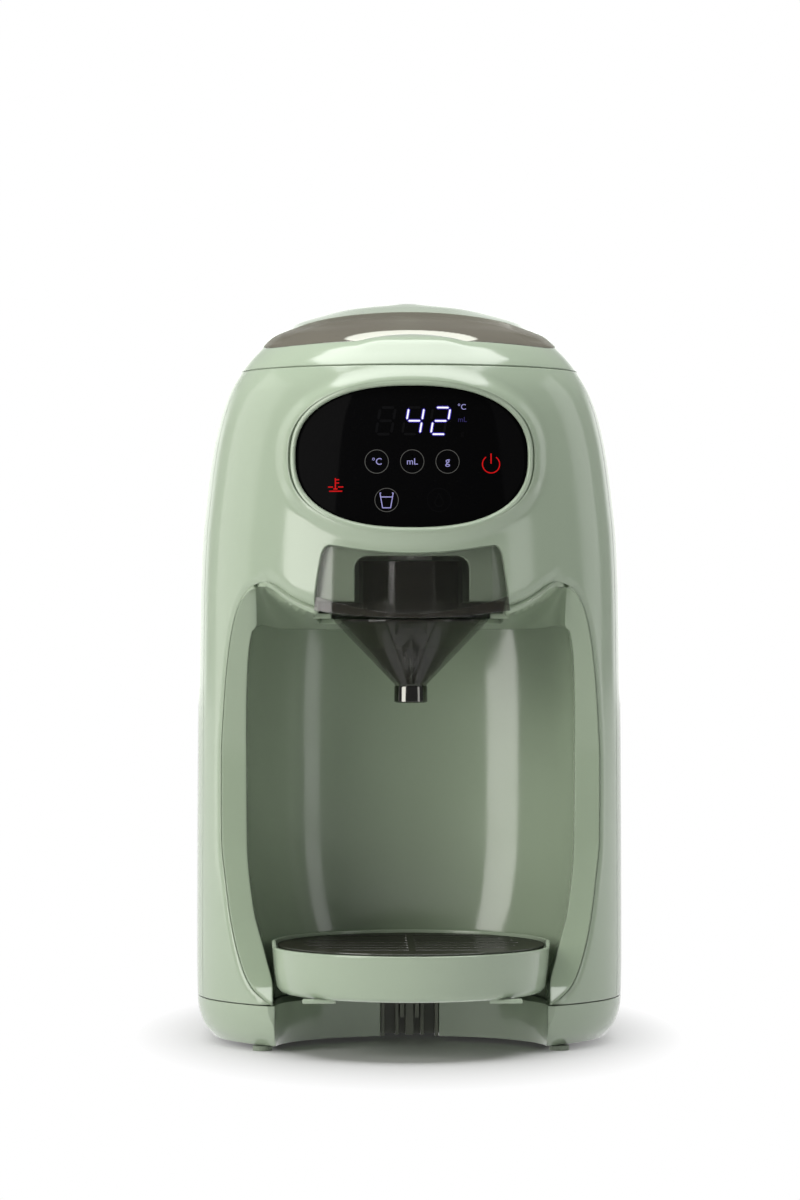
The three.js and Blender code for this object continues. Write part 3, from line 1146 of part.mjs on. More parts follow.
// From the heater up behind the bay, through the deck and round the hopper to the nozzle
function nozzleHose() {
  const start = MOUNT_Z + MOUNT_THICK + HEATER_HEIGHT + BARB_LENGTH + SEAT_GAP;
  const z = DECK_Z + DECK_THICK + 2 * HOSE_RADIUS;
  const bend = 4 * HOSE_RADIUS;
  return hose([
    [HEATER_X, HEATER_Y, start],
    [HEATER_X, HEATER_Y, start + bend],
    [HOSE_BEND_X, HOSE_BEND_Y, DECK_Z - 2 * bend],
    [HOSE_BEND_X, HOSE_BEND_Y, DECK_Z],
    [HOSE_BEND_X - HOSE_RADIUS, WHEEL_Y - bend, z],
    [HOPPER_RADIUS / 2 + bend, FEED_Y - bend, z],
    [NOZZLE_HALF + bend, NOZZLE_Y, z],
    [NOZZLE_HALF + SEAT_GAP, NOZZLE_Y, z],
  ]);
}

function waterNozzle() {
  const deckTop = DECK_Z + DECK_THICK;
  const top = deckTop + 2 * HOSE_RADIUS + BARB_RADIUS;
  const half = NOZZLE_HALF;
  const block = box(-half, half, NOZZLE_Y - half, NOZZLE_Y + half, deckTop + SEAT_GAP, top);
  return block.add(post(0, NOZZLE_Y, COLLAR_TOP_Z + SLIDE_GAP, deckTop + HOSE_RADIUS, NOZZLE_RADIUS, 12));
}

function powerBoard() {
  const y0 = PUMP_Y - POWER_BOARD_DEPTH / 2;
  const x0 = POWER_BOARD_X;
  let board = box(x0, x0 + BOARD_THICK, y0, y0 + POWER_BOARD_DEPTH, MOUNT_Z, MOUNT_Z + POWER_BOARD_HEIGHT);
  const part = POWER_BOARD_DEPTH / 4;
  for (const [across, up, deep] of blockShares) {
    const y = y0 + across * part;
    const z = MOUNT_Z + up * part;
    board = board.add(box(x0 - deep * part, x0 + BOARD_THICK / 2, y - part / 2, y + part / 2, z, z + part));
  }
  return board;
}

// The body of the mains inlet, reaching from inside the heel to a given place behind it
function inletBlock(gap, rear) {
  const z = (BASE_TOP_Z + HEEL_TOP_Z - SHELL_WALL) / 2;
  const halfHeight = INLET_HEIGHT / 2 + gap;
  const front = DEPTH / 2 - INLET_DEPTH - SHELL_WALL;
  const half = INLET_HALF + gap;
  return box(INLET_X - half, INLET_X + half, front, rear, z - halfHeight, z + halfHeight);
}

function powerInlet() {
  const z = (BASE_TOP_Z + HEEL_TOP_Z - SHELL_WALL) / 2;
  const wall = SHELL_WALL;
  const front = DEPTH / 2 - INLET_DEPTH;
  let part = inletBlock(0, FAR_Y).intersect(body(BAND_SETBACK));
  const half = INLET_HALF - wall;
  const halfHeight = INLET_HEIGHT / 2 - wall;
  part = part.subtract(box(INLET_X - half, INLET_X + half, front, FAR_Y, z - halfHeight, z + halfHeight));
  for (const side of [-1, 1]) {
    const x = INLET_X + (side * half) / 2;
    part = part.add(rodAlongY(front - wall / 2, front + INLET_DEPTH / 4, x, z, INLET_PIN, 10));
  }
  return part;
}

function tray() {
  const inner = TRAY_RADIUS - TRAY_WALL;
  const stepZ = COVER_Z - SEAT_GAP;
  const floor = TRAY_BOTTOM_Z + TRAY_WALL;
  const profile = [
    [0, TRAY_BOTTOM_Z],
    [TRAY_FOOT_RADIUS - TRAY_WALL, TRAY_BOTTOM_Z],
    [TRAY_FOOT_RADIUS, floor],
    [TRAY_RADIUS, TRAY_TOP_Z],
    [inner, TRAY_TOP_Z],
    [inner, stepZ],
    [inner - TRAY_STEP, stepZ],
    [inner - TRAY_STEP, stepZ - TRAY_STEP / 2],
    [TRAY_FOOT_RADIUS - TRAY_WALL, floor + TRAY_STEP],
    [TRAY_FOOT_RADIUS - 2 * TRAY_WALL, floor],
    [0, floor],
  ];
  let cup = spun(profile, 0, TRAY_Y, 44);
  const tabBottom = TRAY_BOTTOM_Z - TAB_HEIGHT;
  const foot = TRAY_FOOT_RADIUS - 2 * TRAY_WALL;
  const tabs = ring(0, TRAY_Y, tabBottom, floor, foot - TAB_DEPTH, foot, 24);
  for (const side of [-1, 1]) {
    const x = side * TAB_X;
    const reach = box(x - TAB_HALF, x + TAB_HALF, -FAR_Y, TRAY_Y, 0, floor);
    cup = cup.add(tabs.intersect(reach));
  }
  return cup.subtract(box(-FAR_X, FAR_X, -FAR_Y, BASE_TIP_Y, TRAY_FRONT_Z, FAR_Z));
}

function trayCover() {
  let cover = post(0, TRAY_Y, COVER_Z, COVER_Z + COVER_THICK, COVER_RADIUS, 40);
  for (let i = 0; i < SLOT_COUNT; i++) {
    const offset = (i - (SLOT_COUNT - 1) / 2) * SLOT_PITCH;
    const half = Math.sqrt(COVER_RADIUS ** 2 - offset ** 2) - SLOT_MARGIN;
    const y = TRAY_Y + offset;
    const slot = rounded(-half, half, y - SLOT_WIDTH / 2, y + SLOT_WIDTH / 2, SLOT_WIDTH / 2);
    cover = cover.subtract(prism(slot, "z", 0, FAR_Z, 2));
  }
  return cover;
}

function trayBracket() {
  const front = RECESS_BACK_Y - RECESS_DEPTH + TONGUE_WIDTH;
  const bottom = BASE_TOP_Z + SEAT_GAP;
  const back = RECESS_BACK_Y + BRACKET_REACH;
  let part = box(-BRACKET_HALF, BRACKET_HALF, front, back, bottom, TRAY_BOTTOM_Z - SEAT_GAP);
  const rear = RECESS_BACK_Y - 2 * TONGUE_WIDTH;
  for (const side of [-1, 1]) {
    const x = side * TONGUE_X;
    const half = TONGUE_WIDTH / 2;
    const tip = BASE_TOP_Z - TONGUE_LENGTH;
    part = part.add(box(x - half, x + half, rear - TONGUE_DEPTH, rear, tip, bottom + half));
  }
  return part;
}

// The lining of the recess: a back with upright ribs that guide the tray's tongues
function traySocket() {
  const half = RECESS_HALF - SEAT_GAP;
  const back = RECESS_BACK_Y - SEAT_GAP;
  const front = RECESS_BACK_Y - RECESS_DEPTH;
  const bottom = BASE_BOTTOM_Z;
  const top = BASE_TOP_Z - SEAT_GAP;
  let part = box(-half, half, front, back, bottom, top);
  const room = half - RIB_WIDTH;
  part = part.subtract(box(-room, room, front - OVERRUN, back - RIB_WIDTH, bottom - OVERRUN, top + OVERRUN));
  const reach = back - RIB_WIDTH - TONGUE_DEPTH;
  const outerRib = TONGUE_X + TONGUE_WIDTH / 2 + SLIDE_GAP;
  const innerRib = TONGUE_X - TONGUE_WIDTH / 2 - SLIDE_GAP;
  part = part.add(box(-innerRib, innerRib, reach, back, bottom, top));
  for (const x of [-outerRib - RIB_WIDTH, outerRib]) {
    part = part.add(box(x, x + RIB_WIDTH, reach, back, bottom, top));
  }
  return part;
}

// Materials and the finished group
const root = new THREE.Group();

function finish(color, roughness, metalness = 0, opacity = 1) {
  return { color, roughness, metalness, opacity, transparent: opacity < 1 };
}

const SAGE = finish(0x9fb39a, 0.25);
const SAGE_SHADE = finish(0x8fa48a, 0.3);
const SMOKY = finish(0x3a3a34, 0.08, 0, 0.6);
const CLEAR = finish(0xd9e2e0, 0.05, 0, 0.35);
const BLACK_GLOSS = finish(0x0a0a0a, 0.06);
const DARK = finish(0x2a2b28, 0.5);
const WHITE = finish(0xe9e9e4, 0.4);
const RUBBER = finish(0x3a3a3a, 0.8);
const STEEL = finish(0xb8babd, 0.3, 1);
const SILICONE = finish(0xdcdcd2, 0.5);
const BOARD = finish(0x1f5a35, 0.5);

// The slivers that a cut leaves are dropped, so each piece is one body
function place(name, shape, look) {
  const pieces = shape.decompose().sort((a, b) => b.volume() - a.volume());
  const data = pieces[0].getMesh();
  const geometry = new THREE.BufferGeometry();
  const points = [];
  for (let i = 0; i < data.vertProperties.length; i += data.numProp) {
    points.push(data.vertProperties[i], data.vertProperties[i + 1], data.vertProperties[i + 2]);
  }
  geometry.setAttribute("position", new THREE.Float32BufferAttribute(points, 3));
  geometry.setIndex(Array.from(data.triVerts));
  geometry.computeVertexNormals();
  const mesh = new THREE.Mesh(geometry, new THREE.MeshStandardMaterial({ ...look, flatShading: true }));
  mesh.name = name;
  root.add(mesh);
}

place("front_shell", frontShell(), SAGE);
place("rear_shell", rearShell(), SAGE);
place("bay_liner", bayLiner(), SAGE_SHADE);
place("base", base(), SAGE);
place("base_plate", basePlate(), DARK);
const footPlaces = [
  [FRONT_FOOT_X, BASE_TIP_Y + FRONT_FOOT_INSET, FRONT_FOOT_RADIUS],
  [REAR_FOOT_X, REAR_FOOT_Y, REAR_FOOT_RADIUS],
];
footPlaces.forEach(([x, y, radius], row) => {
  for (const side of [-1, 1]) {
    const name = "foot_" + ["front", "rear"][row] + (side < 0 ? "_left" : "_right");
    place(name, post(side * x, y, 0, FOOT_HEIGHT, radius, 20), RUBBER);
  }
});
screwPlaces().forEach(([x, y], i) => place("base_screw_" + (i + 1), baseScrew(x, y), STEEL));
place("panel_rim", panelPart(PANEL_RIM, SEAT_GAP, 0, SHELL_WALL), SAGE);
place("panel_lens", panelPart(0, null, LENS_SETBACK, LENS_THICK), BLACK_GLOSS);
place("display_module", displayModule(), DARK);
place("control_board", controlBoard(), BOARD);
place("funnel_guide", funnelGuide(), SAGE_SHADE);
place("funnel_holder", funnelHolder(), SMOKY);
place("funnel", funnel(), SMOKY);
place("mixing_core", mixingCore(), CLEAR);
place("head_deck", headDeck(), WHITE);
place("powder_chute", powderChute(), WHITE);
place("dosing_wheel", dosingWheel(), WHITE);
place("dosing_shaft", dosingShaft(), STEEL);
place("agitator", agitator(), WHITE);
place("drive_pinion", drivePinion(), WHITE);
place("dosing_motor", dosingMotor(), STEEL);
place("powder_hopper", hopper(), CLEAR);
place("hopper_surround", hopperSurround(), SAGE_SHADE);
place("lid_frame", lidFrame(), SAGE);
place("lid_window", lidWindow(), SMOKY);
place("lid_seal", lidSeal(), SILICONE);
place("lid_hinge_pin", hingePin(), STEEL);
place("water_tank", waterTank(), CLEAR);
place("tank_lid", tankLid(), SAGE);
place("tank_valve", tankValve(), WHITE);
place("valve_cage", valveCage(), WHITE);
place("valve_spring", valveSpring(), STEEL);
place("tank_socket", tankSocket(), WHITE);
place("tank_seal", tankSeal(), SILICONE);
place("float_guide", floatGuide(), WHITE);
place("level_float", levelFloat(), WHITE);
place("pump", pump(), DARK);
place("heater", heater(), STEEL);
place("thermostat", thermostat(), STEEL);
place("tank_hose", tankHose(), SILICONE);
place("heater_hose", heaterHose(), SILICONE);
place("nozzle_hose", nozzleHose(), SILICONE);
place("water_nozzle", waterNozzle(), WHITE);
place("power_board", powerBoard(), BOARD);
place("power_inlet", powerInlet(), DARK);
place("tray", tray(), SAGE);
place("tray_cover", trayCover(), SMOKY);
place("tray_bracket", trayBracket(), DARK);
place("tray_socket", traySocket(), DARK);

export default root;
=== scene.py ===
import math

import bpy
import numpy as np
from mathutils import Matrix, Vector


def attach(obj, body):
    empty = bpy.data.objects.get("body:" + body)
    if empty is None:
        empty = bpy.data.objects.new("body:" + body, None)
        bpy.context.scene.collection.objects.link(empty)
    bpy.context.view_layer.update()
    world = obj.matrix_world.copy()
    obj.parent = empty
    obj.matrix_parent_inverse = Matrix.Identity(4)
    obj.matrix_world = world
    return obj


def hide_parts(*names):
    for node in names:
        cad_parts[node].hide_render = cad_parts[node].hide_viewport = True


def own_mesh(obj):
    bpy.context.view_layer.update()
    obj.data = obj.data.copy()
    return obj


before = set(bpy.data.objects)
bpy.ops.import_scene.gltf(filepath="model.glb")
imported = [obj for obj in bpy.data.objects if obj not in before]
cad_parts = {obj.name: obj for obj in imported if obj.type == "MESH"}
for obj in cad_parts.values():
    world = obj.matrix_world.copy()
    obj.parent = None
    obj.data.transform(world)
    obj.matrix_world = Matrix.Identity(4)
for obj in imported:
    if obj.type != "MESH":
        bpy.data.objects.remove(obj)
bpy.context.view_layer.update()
bpy.ops.object.select_all(action="DESELECT")

MM = 0.001
BODY_HEIGHT = 351.5
BODY_HALF = 100.0
BODY_DEPTH = 300.0

# Outline of the body as shares: height, half width, front, rear and widest line
BODY_ROWS = np.array(
    [
        [0.007, 0.92, -0.385, 0.47, -0.127],
        [0.026, 0.972, -0.4, 0.49, -0.127],
        [0.055, 0.996, -0.41, 0.499, -0.127],
        [0.12, 1, -0.4133, 0.5, -0.127],
        [0.589, 0.99, -0.4133, 0.5, -0.127],
        [0.669, 0.979, -0.4133, 0.5, -0.127],
        [0.723, 0.96, -0.412, 0.499, -0.127],
        [0.777, 0.936, -0.408, 0.497, -0.127],
        [0.831, 0.896, -0.402, 0.491, -0.127],
        [0.862, 0.858, -0.394, 0.485, -0.127],
        [0.891, 0.802, -0.38, 0.473, -0.12],
        [0.91, 0.755, -0.363, 0.46, -0.11],
        [0.925, 0.71, -0.342, 0.447, -0.095],
        [0.933, 0.69, -0.303, 0.437, -0.07],
        [0.944, 0.66, -0.245, 0.42, -0.035],
        [0.9585, 0.593, -0.155, 0.39, 0.027],
        [0.97, 0.535, -0.078, 0.355, 0.053],
        [0.982, 0.42, -0.005, 0.298, 0.08],
        [0.993, 0.265, 0.06, 0.225, 0.102],
        [1, 0.06, 0.105, 0.14, 0.117],
    ]
) * (BODY_HEIGHT, BODY_HALF, BODY_DEPTH, BODY_DEPTH, BODY_DEPTH)
REAR_POWER = 0.625
WALL = 2.6
INNER_WALL = 2.2
SEAM_GAP = 0.3
SEAM_Y = -60.1
BACK_Y = 58.0
LID_SEAM_Z = 314.0
BASE_TOP_Z = 21.7
HEEL_TOP_Z = 44.0
TANK_FRONT_Y = 58.6
TANK_TOP_Z = 312.0
CROWN_REAR_Y = 42.0
LID_WALL = 2.4
BAY_CORNER_Z = 217.0
BAY_TOP_Z = 195.5
PANEL_Z = 272.0
PANEL_HALF = 52.9
PANEL_HALF_HEIGHT = 32.1
PANEL_POWER = 2.42
PANEL_CUT = 2.3
RIM_WIDTH = 2.42
FUNNEL_Y = -82.99
TRAY_Y = -86.0
HOLDER_TOP_Z = 232.6
HOLDER_FOOT_Z = 198.8
HOLDER_HALF = 44.9
HOLDER_CORNER = 7
INSIDE = (0, -10, 190)
INSIDE_HEAD = (0, -60, 215)
INSIDE_PANEL = (0, -60, PANEL_Z)
UNDER_LID = (0, -20, 300)


def curve_through(places, values, at):
    """Smooth curve through given points, with no wave between them"""
    step = np.diff(places)
    rise = np.diff(values) / step
    slope = np.zeros(len(values))
    slope[0] = rise[0]
    slope[-1] = rise[-1]
    for i in range(1, len(values) - 1):
        if rise[i - 1] * rise[i] > 0:
            first = 2 * step[i] + step[i - 1]
            second = step[i] + 2 * step[i - 1]
            slope[i] = (first + second) / (first / rise[i - 1] + second / rise[i])
    k = np.clip(np.searchsorted(places, at, side="right") - 1, 0, len(step) - 1)
    t = (np.clip(at, places[0], places[-1]) - places[k]) / step[k]
    start = values[k] * (2 * t**3 - 3 * t**2 + 1) + slope[k] * step[k] * (t**3 - 2 * t**2 + t)
    end = values[k + 1] * (3 * t**2 - 2 * t**3) + slope[k + 1] * step[k] * (t**3 - t**2)
    return start + end


ROW_STEPS = np.linalg.norm(np.diff(BODY_ROWS[:, :4] * (1, 1, 0.5, 0.5), axis=0), axis=1)
ROW_WALK = np.concatenate([[0], np.cumsum(ROW_STEPS)])
WALK = np.linspace(0, ROW_WALK[-1], 3000)
SKIN = np.stack([curve_through(ROW_WALK, BODY_ROWS[:, c], WALK) for c in range(5)])


def walked(x, y):
    """Length along a row of points, up to each of them"""
    return np.concatenate([[0], np.cumsum(np.hypot(np.diff(x), np.diff(y)))])


def walk_at(z):
    """How far up the profile a height is"""
    return np.interp(z, SKIN[0], WALK)


def ring(walk):
    """Height, half width, reach ahead, reach behind and widest line at a place up the profile"""
    z, half, front, rear, middle = (np.interp(walk, WALK, row) for row in SKIN)
    return z, half, middle - front, rear - middle, middle


def skin(walk, angle):
    """Point of the body's outer skin; the angle runs from the right through the back"""
    z, half, ahead, behind, middle = ring(walk)
    cos = np.cos(angle)
    sin = np.sin(angle)
    rear = sin > 0
    power = np.where(rear, REAR_POWER, 1.0)
    x = half * np.sign(cos) * np.abs(cos) ** power
    reach = np.where(rear, behind, ahead)
    y = middle + reach * np.sign(sin) * np.abs(sin) ** power
    return x, y, z


def front_y(x, z):
    """How far forward the skin stands at a place seen from the front"""
    _, half, ahead, _, middle = ring(walk_at(z))
    return middle - ahead * np.sqrt(np.clip(1 - (x / half) ** 2, 0, 1))


def skin_half(y, walk):
    """Half width of the skin in an upright plane across the body"""
    _, half, ahead, behind, middle = ring(walk)
    reach = np.where(y > middle, behind, ahead)
    share = np.clip(np.abs(y - middle) / reach, 0, 1)
    power = np.where(y > middle, 2 / REAR_POWER, 2.0)
    return half * np.clip(1 - share**power, 0, 1) ** (1 / power)


def smooth_step(low, high, value):
    t = np.clip((value - low) / (high - low), 0, 1)
    return t * t * (3 - 2 * t)


def round_max(a, b, radius):
    """The larger of two distances, with the corner between them rounded"""
    return (a + b + np.sqrt((a - b) ** 2 + (0.586 * radius) ** 2)) / 2


# Bay under the head: its edge seen from the side, and its hollow
EDGE_AHEAD = np.array([0.756, 0.667, 0.602, 0.55, 0.508, 0.467, 0.462, 0.481, 0.512, 0.558, 0.64, 0.721])
EDGE_UP = np.array([0, 0.041, 0.108, 0.185, 0.277, 0.39, 0.569, 0.697, 0.81, 0.903, 0.974, 1])
EDGE_REAR_Y = -38.1
EDGE_REACH = 85.89
EDGE_Y = EDGE_REAR_Y - EDGE_AHEAD * EDGE_REACH
EDGE_Z = BASE_TOP_Z + EDGE_UP * (BAY_CORNER_Z - BASE_TOP_Z)
LIP_REAR_Y = -100.0
LIP_Y = np.array([-184.1, -124.0, -112.0, LIP_REAR_Y])
LIP_Z = np.array([187.7, 198.1, 204.3, BAY_CORNER_Z])
LIP_FALL = 38
LIP_ROUND_X = 55
LIP_ROUND = 17.6
HOLLOW_WIDEST = 76
HOLLOW_UP = np.array([-0.05, 0.04, 0.117, 0.248, 0.42, 0.74, 0.9, 0.96, 1])
HOLLOW_WIDTH = np.array([0.832, 0.836, 0.877, 0.955, 0.995, 1, 0.99, 0.975, 0.955])
HOLLOW_Z = BASE_TOP_Z + HOLLOW_UP * (BAY_TOP_Z - BASE_TOP_Z)
HOLLOW_HALF = HOLLOW_WIDTH * HOLLOW_WIDEST
HOLLOW_MIDDLE_Y = -78.0
HOLLOW_DEPTH = 62.0
HOLLOW_POWER = 0.87
HOLLOW_STRAIGHT = 60
BAND_SETBACK = 0.8
CHANNEL_HALF = 42.8
CHANNEL_FLOOR_Z = 198.2
FUNNEL_WAY = 36.5
FUNNEL_WAY_WIDER = 6.3
OPEN = 100


def edge_y(z):
    return curve_through(EDGE_Z, EDGE_Y, z)


def lip_z(y):
    return curve_through(LIP_Y, LIP_Z, y)


LIP_X = np.linspace(0, 80, 161)
LIP_HEIGHT = np.full(len(LIP_X), 205.0)
for _ in range(30):
    LIP_HEIGHT = lip_z(np.minimum(front_y(LIP_X, LIP_HEIGHT), LIP_REAR_Y))


def under_lip(x, z):
    """How far the underside of the head has fallen back behind its lip at a place seen from the front"""
    lip = np.interp(np.abs(x), LIP_X, LIP_HEIGHT)
    share = np.clip((lip - z) / np.maximum(lip - BAY_TOP_Z, 1.5), 0, 1)
    below = smooth_step(BAY_TOP_Z - 18, BAY_TOP_Z - 2, z)
    past = np.clip(np.abs(x) - LIP_ROUND_X, 0, LIP_ROUND) / LIP_ROUND
    round_in = np.sqrt(np.clip(1 - past**2, 0, 1))
    return LIP_FALL * share**0.65 * round_in * below


def drawer_margin(x, y, z):
    """How far outside the drawer's way through the underside of the head a place is"""
    way = np.where(y < FUNNEL_Y, np.abs(x), np.hypot(x, y - FUNNEL_Y)) - FUNNEL_WAY
    way = np.where(y < FUNNEL_Y - 2, way - FUNNEL_WAY_WIDER, way)
    lower = np.where(z > BAY_TOP_Z - 6, way, OPEN)
    return np.where(z > CHANNEL_FLOOR_Z, np.abs(x) - CHANNEL_HALF, lower)


def bay_side(y, z):
    """Above nought on the shell's side of the bay's edge"""
    return round_max(y - edge_y(z), z - lip_z(np.minimum(y, LIP_REAR_Y)), 7)


def panel_margin(x, z):
    """How far outside the display's outline a place on the head is"""
    dx = np.abs(x)
    dz = np.abs(z - PANEL_Z)
    total = (dx / PANEL_HALF) ** PANEL_POWER + (dz / PANEL_HALF_HEIGHT) ** PANEL_POWER
    level = np.maximum(total ** (1 / PANEL_POWER), 1e-6)
    return np.hypot(dx, dz) * (1 - 1 / level)


def holder_margin(x, z):
    """How far outside the funnel holder's outline a place on the head is"""
    side = HOLDER_HALF - 0.13 * (z - 202)
    top = HOLDER_TOP_Z - 4.6 * (1 - np.clip(np.abs(x) / 38, 0, 1) ** 2)
    return round_max(z - top, np.abs(x) - side, HOLDER_CORNER)


def holder_bottom(x):
    return HOLDER_FOOT_Z + 3.3 * (x / 45) ** 2


# Mesh making
def select_only(piece):
    bpy.ops.object.select_all(action="DESELECT")
    piece.select_set(True)
    bpy.context.view_layer.objects.active = piece


def new_piece(name, points, faces):
    """Points in mm and faces made a mesh piece in metres"""
    mesh = bpy.data.meshes.new(name)
    mesh.from_pydata((np.asarray(points, float) * MM).tolist(), [], faces)
    mesh.update()
    made = bpy.data.objects.new(name, mesh)
    bpy.context.collection.objects.link(made)
    return made


def face_from(piece, inside, outwards=True):
    """Turns an open surface so that it faces away from a point, or towards it"""
    start = Vector(inside) * MM
    total = sum(f.area * f.normal.dot(f.center - start) for f in piece.data.polygons)
    if (total > 0) != outwards:
        piece.data.flip_normals()


def laid(name, u, v, place, keep=None):
    """A grid of squares laid on a surface, with its edge cut along the line where keep is nought"""
    spots = np.stack(np.meshgrid(u, v, indexing="ij")).reshape(2, -1).astype(float)
    ids = np.arange(len(u) * len(v)).reshape(len(u), len(v))
    cells = np.stack([ids[:-1, :-1], ids[1:, :-1], ids[1:, 1:], ids[:-1, 1:]], axis=-1).reshape(-1, 4)
    if keep is None:
        return new_piece(name, np.stack(place(*spots), axis=-1), cells.tolist())
    value = keep(*spots)
    value = np.where(np.abs(value) < 1e-9, 1e-9, value)
    sides = np.concatenate([cells[:, [i, (i + 1) % 4]] for i in range(4)])
    sides = np.unique(np.sort(sides, axis=1), axis=0)
    sides = sides[value[sides[:, 0]] * value[sides[:, 1]] < 0]
    first, second = np.where(value[sides[:, :1]] > 0, sides, sides[:, ::-1]).T
    way = spots[:, second] - spots[:, first]
    low = np.zeros(len(sides))
    high = np.ones(len(sides))
    for _ in range(16):
        middle = (low + high) / 2
        inside = keep(*(spots[:, first] + middle * way)) > 0
        low = np.where(inside, middle, low)
        high = np.where(inside, high, middle)
    cut = (low + high) / 2
    cut_spots = spots[:, first] + cut * way
    state = np.sign(value).astype(int)
    nearest = {}
    for row in range(len(sides)):
        for corner, far in ((first[row], cut[row]), (second[row], 1 - cut[row])):
            if far < 0.3 and far < nearest.get(corner, (1, 0))[0]:
                nearest[corner] = (far, row)
    for corner, (_, row) in nearest.items():
        spots[:, corner] = cut_spots[:, row]
        state[corner] = 0
    rows = np.flatnonzero((state[first] == 1) & (state[second] == -1))
    crossing = {}
    for new, row in enumerate(rows, spots.shape[1]):
        crossing[tuple(sorted((int(first[row]), int(second[row]))))] = new
    spots = np.concatenate([spots, cut_spots[:, rows]], axis=1)
    corner_states = state[cells]
    whole = (corner_states >= 0).all(axis=1) & (corner_states > 0).any(axis=1)
    faces = cells[whole].tolist()
    mixed = ~whole & (corner_states > 0).any(axis=1)
    for cell in cells[mixed].tolist():
        outline = []
        for i in range(4):
            here = cell[i]
            after = cell[(i + 1) % 4]
            if state[here] >= 0:
                outline.append(here)
            found = crossing.get((min(here, after), max(here, after)))
            if found is not None:
                outline.append(found)
        if len(outline) > 2:
            faces.append(outline)
    used = np.unique(np.concatenate([np.array(f) for f in faces]))
    renumber = {int(old): new for new, old in enumerate(used)}
    faces = [[renumber[int(p)] for p in f] for f in faces]
    return new_piece(name, np.stack(place(*spots[:, used]), axis=-1), faces)


def lofted(name, rings, capped=True):
    """Rings of points in mm joined one after another, with a face over each end"""
    count = len(rings[0])
    faces = []
    for start in range(0, (len(rings) - 1) * count, count):
        for i in range(count):
            a = start + i
            b = start + (i + 1) % count
            faces.append([a, b, b + count, a + count])
    if capped:
        faces.append(list(range(count))[::-1])
        faces.append([(len(rings) - 1) * count + i for i in range(count)])
    return new_piece(name, np.concatenate([np.asarray(r, float) for r in rings]), faces)


def apply_modifier(piece, kind, **settings):
    select_only(piece)
    modifier = piece.modifiers.new(kind.title(), kind)
    for key, value in settings.items():
        setattr(modifier, key, value)
    bpy.ops.object.modifier_apply(modifier=modifier.name)


def walled(piece, inside, wall, outwards=True):
    """Turns an open surface as face_from does and gives it its wall, behind its face"""
    face_from(piece, inside, outwards)
    apply_modifier(piece, "SOLIDIFY", thickness=wall * MM, offset=-1, use_even_offset=False)


def stitched(piece, gap=0.01, face_out=False):
    """Joins points that meet, such as the two ends of a grid that goes all the way round"""
    select_only(piece)
    bpy.ops.object.mode_set(mode="EDIT")
    bpy.ops.mesh.select_all(action="SELECT")
    bpy.ops.mesh.remove_doubles(threshold=gap * MM)
    if face_out:
        bpy.ops.mesh.normals_make_consistent(inside=False)
    bpy.ops.object.mode_set(mode="OBJECT")


def outward(piece):
    stitched(piece, face_out=True)


def smooth(piece, angle=35):
    select_only(piece)
    bpy.ops.object.shade_smooth_by_angle(angle=math.radians(angle))


def joined(pieces):
    bpy.ops.object.select_all(action="DESELECT")
    for piece in pieces:
        piece.select_set(True)
    bpy.context.view_layer.objects.active = pieces[0]
    bpy.ops.object.join()
    return pieces[0]


def settled(piece, body, slot, material, *nodes):
    """Gives a piece its finish, its body and the CAD nodes that it stands for"""
    piece.data.materials.clear()
    piece.data.materials.append(material)
    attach(piece, body)
    if nodes:
        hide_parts(*nodes)
    return piece


def spun(name, profile, y, steps=96):
    """A profile of radius and height in mm turned round an upright axis on the middle plane"""
    made = new_piece(name, [(radius, y, height) for radius, height in profile], [])
    made.data.edges.add(len(profile) - 1)
    for i in range(len(profile) - 1):
        made.data.edges[i].vertices = (i, i + 1)
    select_only(made)
    bpy.ops.object.mode_set(mode="EDIT")
    bpy.ops.mesh.select_all(action="SELECT")
    bpy.ops.mesh.spin(steps=steps, angle=2 * math.pi, center=(0, y * MM, 0), axis=(0, 0, 1))
    bpy.ops.object.mode_set(mode="OBJECT")
    stitched(made, 0.02, face_out=True)
    smooth(made)
    return made


def even_angles(start, end, count, height=150):
    """Angles that step evenly along the body's outline"""
    fine = np.linspace(start, end, 4001)
    x, y, _ = skin(walk_at(height), fine)
    far = walked(x, y)
    return np.interp(np.linspace(0, far[-1], count), far, fine)


# Finishes
class Wire:
    """A value in a material; sums on it add their nodes"""

    def __init__(self, finish, socket):
        self.finish = finish
        self.socket = socket

    def sum(self, kind, first, second):
        return self.finish.node("ShaderNodeMath", {"operation": kind}, {0: first, 1: second})

    def __add__(self, other):
        return self.sum("ADD", self, other)

    __radd__ = __add__

    def __sub__(self, other):
        return self.sum("SUBTRACT", self, other)

    def __rsub__(self, other):
        return self.sum("SUBTRACT", other, self)

    def __truediv__(self, other):
        return self.sum("DIVIDE", self, other)

    def __mul__(self, other):
        return self.sum("MULTIPLY", self, other)

    __rmul__ = __mul__


